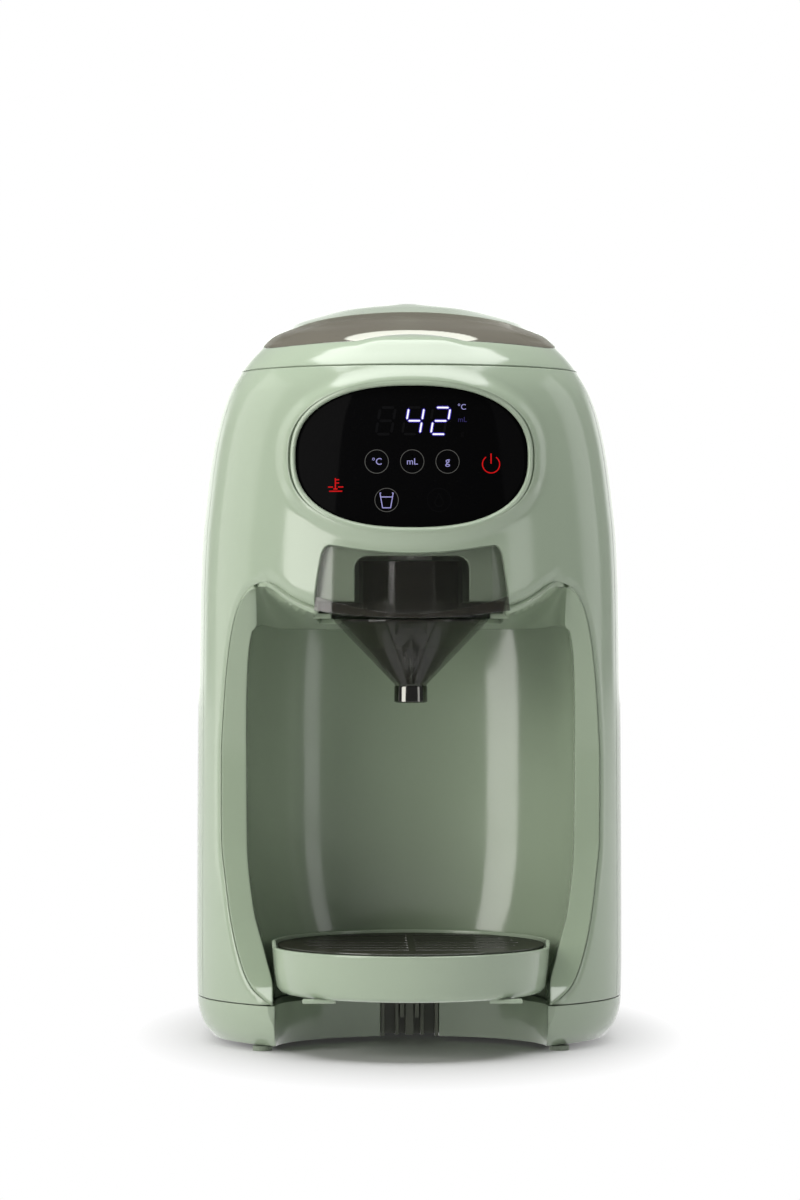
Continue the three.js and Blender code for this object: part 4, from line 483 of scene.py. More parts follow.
class Finish:
    """A material and the one way its nodes are made"""

    def __init__(self, name, owner=None):
        self.material = owner or bpy.data.materials.new(name)
        self.material.use_nodes = True
        self.tree = self.material.node_tree
        self.tree.nodes.clear()

    def node(self, kind, settings=None, values=None, out=0):
        made = self.tree.nodes.new(kind)
        for key, value in (settings or {}).items():
            if key == "stops":
                stops = made.color_ramp.elements
                stops[0].position = value[0][0]
                stops[0].color = value[0][1]
                stops[1].position = value[-1][0]
                stops[1].color = value[-1][1]
                for place, colour in value[1:-1]:
                    stops.new(place).color = colour
            else:
                setattr(made, key, value)
        for key, value in (values or {}).items():
            if isinstance(value, Wire):
                self.tree.links.new(value.socket, made.inputs[key])
            else:
                made.inputs[key].default_value = value
        return Wire(self, made.outputs[out]) if made.outputs else None

    def place(self):
        return self.node("ShaderNodeTexCoord", out=3)

    def noise(self, scale, detail=3, rough=0.5):
        values = {"Vector": self.place(), "Scale": scale, "Detail": detail, "Roughness": rough}
        return self.node("ShaderNodeTexNoise", values=values)

    def ramp(self, value, *stops):
        return self.node("ShaderNodeValToRGB", {"stops": stops}, {"Fac": value})

    def range(self, value, low, high, new_low, new_high):
        values = {0: value, 1: low, 2: high, 3: new_low, 4: new_high}
        return self.node("ShaderNodeMapRange", values=values)

    def drift(self, low, high, scale, detail=3, rough=0.5, ends=(0.3, 0.7)):
        """Noise, spread from one value to another"""
        return self.range(self.noise(scale, detail, rough), *ends, low, high)

    def split(self, value):
        """The three parts of a place or a direction"""
        parts = self.node("ShaderNodeSeparateXYZ", values={0: value}).socket.node.outputs
        return [Wire(self, part) for part in parts]

    def mix(self, share, first, second):
        return self.node("ShaderNodeMix", {"data_type": "RGBA"}, {0: share, 6: first, 7: second}, out=2)

    def bump(self, height, strength, distance, normal=None):
        values = {"Height": height, "Strength": strength, "Distance": distance}
        if normal is not None:
            values["Normal"] = normal
        return self.node("ShaderNodeBump", values=values)

    def rounded(self, radius):
        return self.node("ShaderNodeBevel", {"samples": 6}, {"Radius": radius * MM})

    def dull(self, tone, rough, normal, cover, share):
        """A surface that keeps one share of mirror at every angle, as a rough or curved one does"""
        values = {"Base Color": tone, "Roughness": 0.6, "Specular IOR Level": 0.0, "Alpha": cover}
        matt = self.node("ShaderNodeBsdfPrincipled", values={**values, "Normal": normal})
        values = {"Color": (1, 1, 1, 1), "Roughness": rough, "Normal": normal}
        mirror = self.node("ShaderNodeBsdfGlossy", values=values)
        both = self.node("ShaderNodeMixShader", values={0: share, 1: matt, 2: mirror})
        self.node("ShaderNodeOutputMaterial", values={"Surface": both})
        return self.material

    def done(self, **values):
        plain = {key.replace("_", " "): value for key, value in values.items()}
        shader = self.node("ShaderNodeBsdfPrincipled", values=plain)
        self.node("ShaderNodeOutputMaterial", values={"Surface": shader})
        return self.material


def moulded(name, colour, shade, gloss, edge=0.7, peel=0.012):
    """Moulded plastic: a little drift in colour and gloss, fine orange peel, softened edges"""
    f = Finish(name)
    tone = f.mix(f.drift(0, 1, 9, 2, ends=(0.35, 0.65)), (*shade, 1), (*colour, 1))
    tone = f.mix(f.drift(0, 0.05, 900, 2), tone, (*[min(c * 1.2, 1) for c in colour], 1))
    rough = f.drift(gloss - 0.03, gloss + 0.05, 38, 4, 0.6, (0.3, 0.75))
    normal = f.bump(f.noise(420, 1), peel, 0.001, f.rounded(edge))
    return f.done(Base_Color=tone, Roughness=rough, Normal=normal, IOR=1.5)


SAGE = moulded("sage plastic", (0.312, 0.376, 0.284), (0.302, 0.366, 0.274), 0.12, 0.9)
# A darker copy of the sage plastic for the surfaces inside the bay and the head: painted shade
SAGE_INSIDE_SHADED = moulded("sage plastic inside with painted shade", (0.287, 0.352, 0.256), (0.277, 0.342, 0.246), 0.12, 1.1)
WHITE = moulded("white moulding", (0.72, 0.72, 0.68), (0.68, 0.68, 0.64), 0.36, 0.4, 0.05)
DARK = moulded("dark moulding", (0.03, 0.032, 0.028), (0.024, 0.025, 0.022), 0.42, 0.3, 0.08)
# Darker grey green for the tray bracket and socket deep in the recess under the tray: painted shade
RECESS = moulded("grey green moulding with painted shade", (0.11, 0.12, 0.09), (0.095, 0.105, 0.078), 0.4, 0.3, 0.05)


def smoked(name, colour, cover, rough=0.04, gloss=0.9):
    """See-through plastic whose every face hides a share of what is behind it"""
    f = Finish(name)
    smear = f.noise(60, 4, 0.65)
    tone = f.mix(f.drift(0, 1, 12), (*colour, 1), (*[c * 0.9 for c in colour], 1))
    normal = f.bump(f.noise(300, 1), 0.006, 0.001, f.rounded(0.4))
    return f.done(
        Base_Color=tone,
        Roughness=f.range(smear, 0.35, 0.75, rough, rough + 0.05),
        Normal=normal,
        Alpha=f.range(smear, 0.3, 0.75, cover, cover + 0.02),
        Specular_IOR_Level=gloss,
        IOR=1.5,
    )


DISH_Y = -87
DISH_HALF = 31.5
DISH_DEEP = 17


def window_finish():
    """Smoky brown lid window; the dish for a finger behind the notch gets a pale painted highlight"""
    f = Finish("smoky window with painted dish highlight")
    x, y, _ = f.split(f.place())
    across = x / (DISH_HALF * MM)
    along = (y - DISH_Y * MM) / (DISH_DEEP * MM)
    level = across * across + along * along
    # Mask of the finger dish, where the pale painted highlight goes
    dish = f.range(level, 0.86, 1.0, 1, 0)
    cloud = f.drift(0, 1, 14, 3, ends=(0.35, 0.65))
    smoke = f.mix(cloud, (0.17, 0.155, 0.118, 1), (0.145, 0.132, 0.1, 1))
    # Pale colour in the dish, also less see-through there: a painted highlight
    tone = f.mix(dish, smoke, (0.66, 0.67, 0.59, 1))
    rough = f.drift(0.06, 0.1, 60, 4, 0.65, (0.35, 0.75))
    return f.dull(tone, rough, f.rounded(0.5), f.range(dish, 0, 1, 0.48, 0.8), 0.11)


SMOKE_PLATE = smoked("clear smoky plate", (0.02, 0.02, 0.016), 0.19, 0.03, 1.0)
SMOKE = smoked("smoky plastic", (0.035, 0.032, 0.024), 0.34)
SMOKE_CONE = smoked("smoky funnel", (0.018, 0.017, 0.012), 0.46, 0.04, 0.6)
SMOKE_WINDOW = window_finish()
CLEAR = smoked("clear plastic", (0.5, 0.55, 0.54), 0.12, 0.05, 0.6)


def lens_black():
    f = Finish("black glass")
    dust = f.drift(0, 0.012, 1400, 2, ends=(0.66, 0.78))
    tone = f.mix(dust, (0.0022, 0.0022, 0.0024, 1), (0.3, 0.3, 0.3, 1))
    rough = f.drift(0.035, 0.1, 45, 4, 0.6, (0.35, 0.8))
    return f.done(Base_Color=tone, Roughness=rough, Normal=f.rounded(0.4), Specular_IOR_Level=0.008, IOR=1.5)


def glowing(name, colour, core, strength):
    """A sign under the lens that glows, a little uneven as backlit ink is; the unlit signs get a faint
    painted glow
    """
    f = Finish(name)
    tone = f.mix(f.drift(0, 1, 700, 2), (*colour, 1), (*core, 1))
    return f.done(
        Base_Color=(0.002, 0.002, 0.0025, 1),
        Roughness=0.5,
        Specular_IOR_Level=0.0,
        Emission_Color=tone,
        Emission_Strength=strength,
    )


def brushed():
    f = Finish("brushed steel")
    turned = f.node("ShaderNodeMapping", values={0: f.place(), 3: (1, 1, 14)})
    lines = f.node("ShaderNodeTexNoise", values={"Vector": turned, "Scale": 160, "Detail": 3})
    tone = f.mix(f.range(lines, 0.3, 0.7, 0, 1), (0.46, 0.47, 0.48, 1), (0.6, 0.6, 0.61, 1))
    rough = f.range(lines, 0.3, 0.7, 0.26, 0.4)
    return f.done(Base_Color=tone, Metallic=1.0, Roughness=rough, Normal=f.bump(lines, 0.08, 0.001))


def smoky_metal():
    f = Finish("smoky metal")
    tone = f.mix(f.drift(0, 1, 30, 3), (0.12, 0.12, 0.11, 1), (0.15, 0.15, 0.14, 1))
    rough = f.drift(0.08, 0.14, 120, 3)
    return f.done(Base_Color=tone, Metallic=1.0, Roughness=rough, Normal=f.rounded(0.3))


def soft_rubber(name, colour, rough):
    f = Finish(name)
    grain = f.noise(1100, 3)
    tone = f.mix(f.range(grain, 0.3, 0.7, 0, 1), (*colour, 1), (*[c * 1.25 for c in colour], 1))
    normal = f.bump(grain, 0.12, 0.001, f.rounded(0.4))
    worn = f.drift(rough, rough + 0.12, 70)
    return f.done(Base_Color=tone, Roughness=worn, Normal=normal)


def board():
    f = Finish("circuit board")
    tracks = f.node(
        "ShaderNodeTexBrick",
        {"offset": 0.37},
        {
            "Vector": f.place(),
            "Color1": (0.02, 0.13, 0.045, 1),
            "Color2": (0.016, 0.1, 0.035, 1),
            "Mortar": (0.05, 0.22, 0.08, 1),
            "Scale": 190,
            "Mortar Size": 0.05,
        },
    )
    return f.done(Base_Color=tracks, Roughness=f.drift(0.32, 0.5, 90))


LENS = lens_black()
RUBBER = soft_rubber("foot rubber", (0.16, 0.19, 0.145), 0.55)
SILICONE = soft_rubber("silicone", (0.55, 0.56, 0.5), 0.45)
STEEL = brushed()
SLEEVE = smoky_metal()
BOARD = board()
CORE = smoked("milky clear plastic", (0.2, 0.22, 0.19), 0.5, 0.1)
LIT = glowing("lit digits", (0.86, 0.86, 1.0), (1.0, 0.98, 0.95), 1.15)
HALO = glowing("violet edge", (0.07, 0.045, 0.55), (0.05, 0.03, 0.42), 0.8)
VIOLET = glowing("violet letters", (0.42, 0.4, 0.85), (0.5, 0.48, 0.9), 0.75)
VIOLET_DIM = glowing("dim violet letters", (0.05, 0.04, 0.16), (0.06, 0.05, 0.2), 0.6)
INK = glowing("grey rings", (0.1, 0.1, 0.09), (0.13, 0.13, 0.12), 0.8)
# Unlit signs glow faintly: a painted glow, as they are not lit
UNLIT_INK_GLOW = glowing("unlit signs with painted glow", (0.0035, 0.0035, 0.0035), (0.005, 0.005, 0.0048), 0.8)
RED = glowing("red signs", (0.55, 0.004, 0.006), (0.75, 0.012, 0.01), 0.9)


# Front shell: the two wings beside the bay and the head with its raised ring round the display
FRONT_Y = -70
RING_RISE = 2.1
RING_OUTER = 9.8
RING_INNER = 3.0
LIP_ROLL = 4.2
LIP_ROLL_HEIGHT = 8.5
LIP_ROLL_X = 44.5
EDGE_TURN = 0.9
EDGE_TURN_WIDTH = 2.2


def head_place(share, z):
    """Turn from the middle and place on the skin, at a share of the way to the seam"""
    _, half, ahead, _, middle = ring(walk_at(z))
    turn = share * np.arccos(np.clip((middle - SEAM_Y) / ahead, -1, 1))
    return turn, half, ahead, half * np.sin(turn), middle - ahead * np.cos(turn)


def head_point(share, z):
    turn, half, ahead, x, y = head_place(share, z)
    nx = np.sin(turn) / half
    ny = -np.cos(turn) / ahead
    size = np.hypot(nx, ny)
    rise = RING_RISE * smooth_step(RING_OUTER, RING_INNER, panel_margin(x, z))
    rise = np.where(y < FRONT_Y, rise, 0)
    over_lip = np.maximum(z - lip_z(np.minimum(y, LIP_REAR_Y)), 0)
    roll = LIP_ROLL * np.clip(1 - over_lip / LIP_ROLL_HEIGHT, 0, 1) ** 2.1
    roll = roll * smooth_step(-98, -106, y)
    roll = roll * smooth_step(30, LIP_ROLL_X, np.abs(x))
    past_edge = np.where(y > LIP_REAR_Y, y - edge_y(np.minimum(z, BAY_CORNER_Z)), OPEN)
    turned_in = EDGE_TURN * np.clip(1 - past_edge / EDGE_TURN_WIDTH, 0, 1) ** 2
    rise = rise - np.maximum(roll, np.where(z < BAY_CORNER_Z, turned_in, 0))
    return x + rise * nx / size, y + rise * ny / size, z


def head_keep(share, z):
    x, y = head_place(share, z)[3:]
    kept = np.minimum(bay_side(y, z), panel_margin(x, z) - PANEL_CUT)
    drawer = np.where((y < FRONT_Y) & (z > 190), holder_margin(x, z) - 0.5, OPEN)
    return np.minimum(kept, drawer)


front_rows = np.linspace(BASE_TOP_Z + 0.2, LID_SEAM_Z - SEAM_GAP, 181)
front = laid("front_shell_skin", np.linspace(-1, 1, 171), front_rows, head_point, head_keep)
walled(front, INSIDE, WALL)
smooth(front)
settled(front, "machine_body", "sage_gloss", SAGE, "front_shell")


# Rear shell: both sides, the heel under the tank, the wall ahead of the tank and the hinge bridge
def shell_point(angle, z):
    x, y, _ = skin(walk_at(z), angle)
    return x, y, z


def rear_keep(angle, z):
    _, y, _ = skin(walk_at(z), angle)
    return np.minimum(y - SEAM_Y - SEAM_GAP, np.maximum(BACK_Y - y, HEEL_TOP_Z - z))


def upright_wall(name, y0, y1, z_low, inset):
    """A wall across the body between two planes, from a height up to the crown"""
    rings = []
    for y in (y0, y1):
        walks = np.linspace(walk_at(z_low), WALK[-1], 400)
        top = walks[skin_half(y, walks) - inset > 0.6][-1]
        walks = np.linspace(walk_at(z_low), top, 90)
        heights = ring(walks)[0] - inset * smooth_step(290, 330, ring(walks)[0])
        halves = skin_half(y, walks) - inset
        right = [(h, y, z) for h, z in zip(halves, heights)]
        left = [(-h, y, z) for h, z in zip(halves[::-1], heights[::-1])]
        rings.append(right + left)
    made = lofted(name, rings)
    outward(made)
    return made


rear_angles = even_angles(-math.pi / 2 + 0.95, 1.5 * math.pi - 0.95, 260)
rear_rows = np.linspace(BASE_TOP_Z + 0.2, LID_SEAM_Z - SEAM_GAP, 150)
rear = laid("rear_shell_skin", rear_angles, rear_rows, shell_point, rear_keep)
walled(rear, INSIDE, WALL)
back_wall = upright_wall("back_wall", BACK_Y - WALL, BACK_Y, HEEL_TOP_Z - WALL, 0.05)
bridge = upright_wall("bridge", 50.6, BACK_Y - WALL, LID_SEAM_Z, 0.05)
x, y, _ = skin(walk_at(HEEL_TOP_Z), even_angles(0.02, math.pi - 0.02, 140))
behind = y > BACK_Y - WALL
heel_ring = list(zip(x[behind] * 0.998, y[behind] - SEAM_GAP))
heel_top = lofted("heel_top", [[(*spot, z) for spot in heel_ring] for z in (HEEL_TOP_Z - WALL, HEEL_TOP_Z)])
outward(heel_top)
rear = joined([rear, back_wall, bridge, heel_top])
smooth(rear)
settled(rear, "machine_body", "sage_gloss", SAGE, "rear_shell")


# Body knuckles of the hinge, with their webs
HINGE_Y = 46.51
HINGE_Z = 344.5
KNUCKLE_RADIUS = 3.5
KNUCKLE_END = 24.0
LID_KNUCKLE_END = 14.0


def softened(name):
    """Names the piece just made and rounds its edges"""
    made = bpy.context.active_object
    made.name = name
    bpy.ops.object.transform_apply(location=True, rotation=True, scale=True)
    apply_modifier(made, "BEVEL", width=0.4 * MM, segments=2, limit_method="ANGLE")
    return made


def knuckle(name, x0, x1):
    bpy.ops.mesh.primitive_cylinder_add(
        vertices=40,
        radius=KNUCKLE_RADIUS * MM,
        depth=(x1 - x0) * MM,
        location=((x0 + x1) / 2 * MM, HINGE_Y * MM, HINGE_Z * MM),
        rotation=(0, math.pi / 2, 0),
    )
    return softened(name)


def web(name, low, high):
    """A bar with soft edges between two corners"""
    low = Vector(low) * MM
    high = Vector(high) * MM
    bpy.ops.mesh.primitive_cube_add(size=1, location=(low + high) / 2, scale=high - low)
    return softened(name)


body_knuckles = []
for side, x0 in (("left", -KNUCKLE_END), ("right", LID_KNUCKLE_END + 0.6)):
    x1 = x0 + KNUCKLE_END - LID_KNUCKLE_END - 0.6
    body_knuckles.append(knuckle("body_knuckle_" + side, x0, x1))
    body_knuckles.append(web("body_web_" + side, (x0, 46.6, 341.0), (x1, 51.5, 344.4)))
body_knuckles = joined(body_knuckles)
body_knuckles.name = "body_knuckles"
smooth(body_knuckles)
settled(body_knuckles, "machine_body", "sage_gloss", SAGE)


# Liner of the bay: the band behind the shell's edge, and the hollow
PROFILE_Z = np.linspace(BASE_TOP_Z + 0.2, BAY_CORNER_Z - 1.5, 150)
PROFILE = np.concatenate(
    [
        np.stack([edge_y(PROFILE_Z) + BAND_SETBACK, PROFILE_Z], axis=-1),
        [(-100.5, 215.4), (-102.5, 213.6), (-106, 209.8), (-110, 205.8), (-115, 202), (-121, 199.2)],
    ]
)
PROFILE_FAR = walked(*PROFILE.T)


def band_side(far):
    return np.interp(far, PROFILE_FAR, PROFILE[:, 0]), np.interp(far, PROFILE_FAR, PROFILE[:, 1])


def band_point(x, far):
    y, z = band_side(far)
    fallen = np.where(far < PROFILE_FAR[len(PROFILE_Z) - 1], under_lip(x, z), 0)
    return x, y + fallen, z


def hollow_half(z):
    return curve_through(HOLLOW_Z, HOLLOW_HALF, z)


def band_keep(x, far):
    y, z = band_side(far)
    inside_skin = skin_half(y, walk_at(z)) - 1.6 - np.abs(x)
    open_part = np.where(z > BAY_TOP_Z, OPEN, np.abs(x) - hollow_half(np.minimum(z, BAY_TOP_Z)))
    corner = np.maximum(z - BAY_TOP_Z, open_part)
    fallen = band_point(x, far)[1]
    return np.minimum(np.minimum(inside_skin, corner), drawer_margin(x, fallen, z))


band_rows = np.linspace(0, PROFILE_FAR[-1], 150)
band = laid("bay_band", np.linspace(-99, 99, 181), band_rows, band_point, band_keep)
walled(band, (0, -10, 120), 2.4)

HOLLOW_ROWS_Z = np.append(HOLLOW_Z, BAY_TOP_Z)
HOLLOW_ROWS_HALF = np.append(HOLLOW_HALF, 0.5)
HOLLOW_WALK = walked(HOLLOW_ROWS_Z, HOLLOW_ROWS_HALF)


def hollow_point(angle, walk):
    z = curve_through(HOLLOW_WALK, HOLLOW_ROWS_Z, walk)
    half = curve_through(HOLLOW_WALK, HOLLOW_ROWS_HALF, walk)
    cos = np.cos(angle)
    sin = np.sin(angle)
    x = half * np.sign(cos) * np.abs(cos) ** HOLLOW_POWER
    depth = HOLLOW_DEPTH * np.where(walk > HOLLOW_WALK[-2], half / HOLLOW_ROWS_HALF[-2], 1)
    straight = np.where(angle < 0, -angle, np.maximum(angle - math.pi, 0)) * HOLLOW_STRAIGHT
    x = np.where(straight > 0, half * np.sign(cos), x)
    y = np.where(straight > 0, -straight, depth * np.abs(sin) ** HOLLOW_POWER)
    return x, HOLLOW_MIDDLE_Y + y, z


def hollow_keep(angle, walk):
    x, y, z = hollow_point(angle, walk)
    low = z - BASE_TOP_Z - 0.2
    ahead = y - (edge_y(z) + BAND_SETBACK) - under_lip(x, z)
    return np.minimum(np.minimum(ahead, low), drawer_margin(x, y, z))


before = np.linspace(-0.6, -0.03, 14)
hollow_angles = np.concatenate([before, np.linspace(0, math.pi, 130), math.pi - before[::-1]])
upright = np.linspace(0, HOLLOW_WALK[-2], 110)
ceiling = np.linspace(HOLLOW_WALK[-2] + 1, HOLLOW_WALK[-1], 24)
hollow = laid("bay_hollow", hollow_angles, np.append(upright, ceiling), hollow_point, hollow_keep)
walled(hollow, (0, -60, 110), INNER_WALL, outwards=False)
liner = joined([hollow, band])
liner.name = "bay_liner_skin"
smooth(liner, 40)
settled(liner, "machine_body", "sage_inner", SAGE_INSIDE_SHADED, "bay_liner")


# Base with its rounded underside, the arch under the tray and the recess behind the arch
ARCH_HALF = 62.5
ARCH_DEEP = 52
ARCH_FRONT_Y = -102
RECESS_HALF = 13.75
RECESS_BACK_Y = -34


def base_ring(z):
    fine = np.linspace(-math.pi / 2 + 0.3, 1.5 * math.pi - 0.3, 6001)
    x, y, _ = skin(walk_at(z), fine)
    arch = ARCH_FRONT_Y + ARCH_DEEP * np.sqrt(np.clip(1 - (x / ARCH_HALF) ** 2, 0, 1))
    kept = (y > ARCH_FRONT_Y) & ((np.abs(x) > ARCH_HALF) | (y > arch))
    x = x[kept]
    y = y[kept]
    far = walked(x, y)
    spread = np.linspace(0, far[-1], 260)
    outer = list(zip(np.interp(spread, far, x), np.interp(spread, far, y)))
    tip = math.asin(max((y[-1] - ARCH_FRONT_Y + 0.3) / ARCH_DEEP, 0))
    turns = np.linspace(math.pi - tip, math.pi / 2 + 0.2218, 36)
    left = [(ARCH_HALF * math.cos(t), ARCH_FRONT_Y + ARCH_DEEP * math.sin(t)) for t in turns]
    left += [(-RECESS_HALF, y) for y in (-51.0, -45, RECESS_BACK_Y - 0.6)]
    left += [(0.65 - RECESS_HALF, RECESS_BACK_Y), (-5, RECESS_BACK_Y)]
    right = [(-px, py) for px, py in left[::-1]]
    return [(px, py, z) for px, py in outer + left + right]


base_levels = [2.6, 3.2, 4.2, 5.6, 7.4, 9.6, 12.2, 15, 18, 20.4, 21.45]
base = lofted("base_skin", [base_ring(z) for z in base_levels])
outward(base)
smooth(base, 40)
settled(base, "machine_body", "sage_gloss", SAGE, "base")


# Lid: its frame with the notch for a finger, and the smoky window
WINDOW_HALF = 68.5
WINDOW_MIDDLE_Y = -42
WINDOW_BEHIND = 42.0
WINDOW_AHEAD = 59.0
NOTCH_Y = -101
NOTCH_HALF = 22.5
NOTCH_DEEP = 14.5
NOTCH_EDGE = 1.5
LEDGE_RADIUS = 52.5
LEDGE_Y = -32


def window_margin(x, y):
    """Below nought inside the window seen from above"""
    dy = y - WINDOW_MIDDLE_Y
    deep = np.where(dy > 0, WINDOW_BEHIND, WINDOW_AHEAD)
    level = np.maximum(np.hypot(x / WINDOW_HALF, dy / deep), 1e-6)
    window = np.hypot(x, dy) * (1 - 1 / level)
    level = np.maximum(np.hypot(x / NOTCH_HALF, (y - NOTCH_Y) / NOTCH_DEEP), 1e-6)
    notch = np.hypot(x, y - NOTCH_Y) * (1 / level - 1)
    return round_max(window, notch, 3)


def notch_rise(x, y):
    level = np.hypot(x / (NOTCH_HALF + NOTCH_EDGE), (y - NOTCH_Y) / (NOTCH_DEEP + NOTCH_EDGE))
    return 1.3 * smooth_step(1.15, 0.55, level) * smooth_step(-108, -100, y)


def frame_point(angle, walk):
    x, y, z = skin(walk, angle)
    return x, y, z + notch_rise(x, y)


def frame_keep(angle, walk):
    x, y, _ = skin(walk, angle)
    return np.minimum(CROWN_REAR_Y - y, window_margin(x, y))


def window_keep(angle, walk):
    x, y, _ = skin(walk, angle)
    return -window_margin(x, y) - 0.35


def window_point(angle, walk):
    x, y, z = skin(walk, angle)
    level = np.hypot(x / DISH_HALF, (y - DISH_Y) / DISH_DEEP)
    dish = 1.1 * smooth_step(1.0, 0.8, level)
    return x, y, z - dish


dome_walks = np.linspace(walk_at(LID_SEAM_Z + SEAM_GAP), WALK[-1], 130)
dome_angles = even_angles(-math.pi, math.pi, 241, 320)
lid_frame = laid("lid_frame_skin", dome_angles, dome_walks, frame_point, frame_keep)
walled(lid_frame, UNDER_LID, LID_WALL)
lid_rear = upright_wall("lid_rear_wall", CROWN_REAR_Y - LID_WALL, CROWN_REAR_Y, LID_SEAM_Z + SEAM_GAP, 0.1)
lid_knuckle = knuckle("lid_knuckle", -LID_KNUCKLE_END, LID_KNUCKLE_END)
lid_web = web("lid_web", (-LID_KNUCKLE_END, 40.0, 341.0), (LID_KNUCKLE_END, 46.4, 344.4))
lid_frame = joined([lid_frame, lid_rear, lid_knuckle, lid_web])
smooth(lid_frame)
settled(lid_frame, "lid", "sage_gloss", SAGE, "lid_frame")

window = laid("lid_window_skin", dome_angles, dome_walks, window_point, window_keep)
walled(window, UNDER_LID, INNER_WALL)
smooth(window)
settled(window, "lid", "smoky_clear", SMOKE_WINDOW, "lid_window")

# The ledge inside the lid, on its seam, that carries the seal
ledge_angles = np.linspace(0, 2 * math.pi, 160, endpoint=False)
ledge_heights = (LID_SEAM_Z + SEAM_GAP, LID_SEAM_Z + 2.9)
ledge_rings = []
for z in ledge_heights:
    x, y, _ = skin(walk_at(z), ledge_angles)
    ledge_rings.append([(px * 0.98, min(py * 0.98, CROWN_REAR_Y - 1), z) for px, py in zip(x, y)])
for z in ledge_heights[::-1]:
    ring_points = [(math.cos(a) * LEDGE_RADIUS, math.sin(a) * LEDGE_RADIUS) for a in ledge_angles]
    ledge_rings.append([(px, LEDGE_Y + py, z) for px, py in ring_points])
lid_ledge = lofted("lid_ledge", ledge_rings + [ledge_rings[0]], capped=False)
outward(lid_ledge)
smooth(lid_ledge)
settled(lid_ledge, "lid", "sage_gloss", SAGE)


# Display: its ring, its lens and the signs under the glass
def ring_point(angle, margin):
    cos = np.cos(angle)
    sin = np.sin(angle)
    share = 2 / PANEL_POWER
    x = (PANEL_HALF + margin) * np.sign(cos) * np.abs(cos) ** share
    z = PANEL_Z + (PANEL_HALF_HEIGHT + margin) * np.sign(sin) * np.abs(sin) ** share
    return x, z


def rim_point(angle, across):
    x, z = ring_point(angle, RIM_WIDTH * across)
    rise = 0.1 + 1.98 * (1 - (1 - across) ** 4)
    return x, front_y(x, z) - rise, z


panel_angles = np.linspace(0, 2 * math.pi, 241)
rim = laid("panel_rim_ring", panel_angles, np.linspace(0, 1, 13), rim_point)
stitched(rim)
walled(rim, INSIDE_PANEL, 3)
outward(rim)
smooth(rim, 50)
settled(rim, "machine_body", "sage_gloss", SAGE, "panel_rim")


def lens_y(x, z):
    return front_y(x, z) + 0.2


def lens_point(angle, share):
    x, z = ring_point(angle, 0)
    x = x * share
    z = PANEL_Z + (z - PANEL_Z) * share
    edge = 0.35 * smooth_step(0.98, 1.0, share)
    return x, lens_y(x, z) + edge, z


lens_shares = np.append(np.linspace(0.01, 0.97, 34), [0.98, 0.99, 1.0])
lens = laid("panel_lens_glass", panel_angles, lens_shares, lens_point)
stitched(lens)
walled(lens, INSIDE_PANEL, 2)
outward(lens)
smooth(lens, 60)
settled(lens, "machine_body", "panel_black", LENS, "panel_lens")


def sign(name, shapes, material, rise=0.14):
    """Flat outlines in mm, seen from the front, laid on the lens"""
    points = []
    faces = []
    for shape in shapes:
        start = len(points)
        points += [(x, lens_y(x, z) - rise, z) for x, z in shape]
        faces.append(list(range(start, len(points))))
    made = new_piece(name, points, faces)
    select_only(made)
    bpy.ops.object.mode_set(mode="EDIT")
    bpy.ops.mesh.select_all(action="SELECT")
    bpy.ops.mesh.quads_convert_to_tris()
    bpy.ops.object.mode_set(mode="OBJECT")
    face_from(made, INSIDE_PANEL)
    settled(made, "machine_body", "panel_black", material)


# Places on the picture, in its pixels, and how its pixels lie on the display
PIXELS_PER_MM = 2.2
MIDDLE_COLUMN = 412.3
LEVEL_ROW = 600
LEVEL_Z = 207
DIGIT_ROW = 435
DIGIT_COLUMNS = (376.2, 402.4, 428.6)
LIT_SHIFT = 2.2
KEY_ROW = 462.3
KEY_COLUMNS = (377.0, MIDDLE_COLUMN, 447.5)
UNIT_COLUMN = 462.4
CUP_SPOT = (386.8, 500.6)
DROP_SPOT = (439.0, 500.6)
POWER_SPOT = (491.2, 464.6)
HEAT_COLUMN = 335.9
HEAT_TOP_ROW = 478.6
SCOOP_SPOTS = ((332.6, 445.6, 0.35), (338.6, 445.6, 0.35), (335.6, 449.6, 0.7))


def from_photo(column, row):
    """A place on the display seen from the front, in mm, from its place in the picture"""
    return (column - MIDDLE_COLUMN) / PIXELS_PER_MM, LEVEL_Z + (LEVEL_ROW - row) / PIXELS_PER_MM


def stroke(x0, z0, x1, z1, width, pointed=True):
    length = math.hypot(x1 - x0, z1 - z0)
    ux, uz = (x1 - x0) / length, (z1 - z0) / length
    nx, nz = -uz * width / 2, ux * width / 2
    tip = width / 2 if pointed else 0
    start_x, start_z = x0 + ux * tip, z0 + uz * tip
    end_x, end_z = x1 - ux * tip, z1 - uz * tip
    upper = [(start_x + nx, start_z + nz), (end_x + nx, end_z + nz)]
    lower = [(end_x - nx, end_z - nz), (start_x - nx, start_z - nz)]
    if pointed:
        return [(x0, z0)] + upper + [(x1, z1)] + lower
    return upper + lower


SEGMENTS = {
    "top": ((0, 2), (1, 2)),
    "middle": ((0, 1), (1, 1)),
    "bottom": ((0, 0), (1, 0)),
    "upper_left": ((0, 1), (0, 2)),
    "upper_right": ((1, 1), (1, 2)),
    "lower_left": ((0, 0), (0, 1)),
    "lower_right": ((1, 0), (1, 1)),
}


DIGIT_WIDTH = 6.9
DIGIT_HALF_HEIGHT = 6.05
DIGIT_SLANT = 0.17


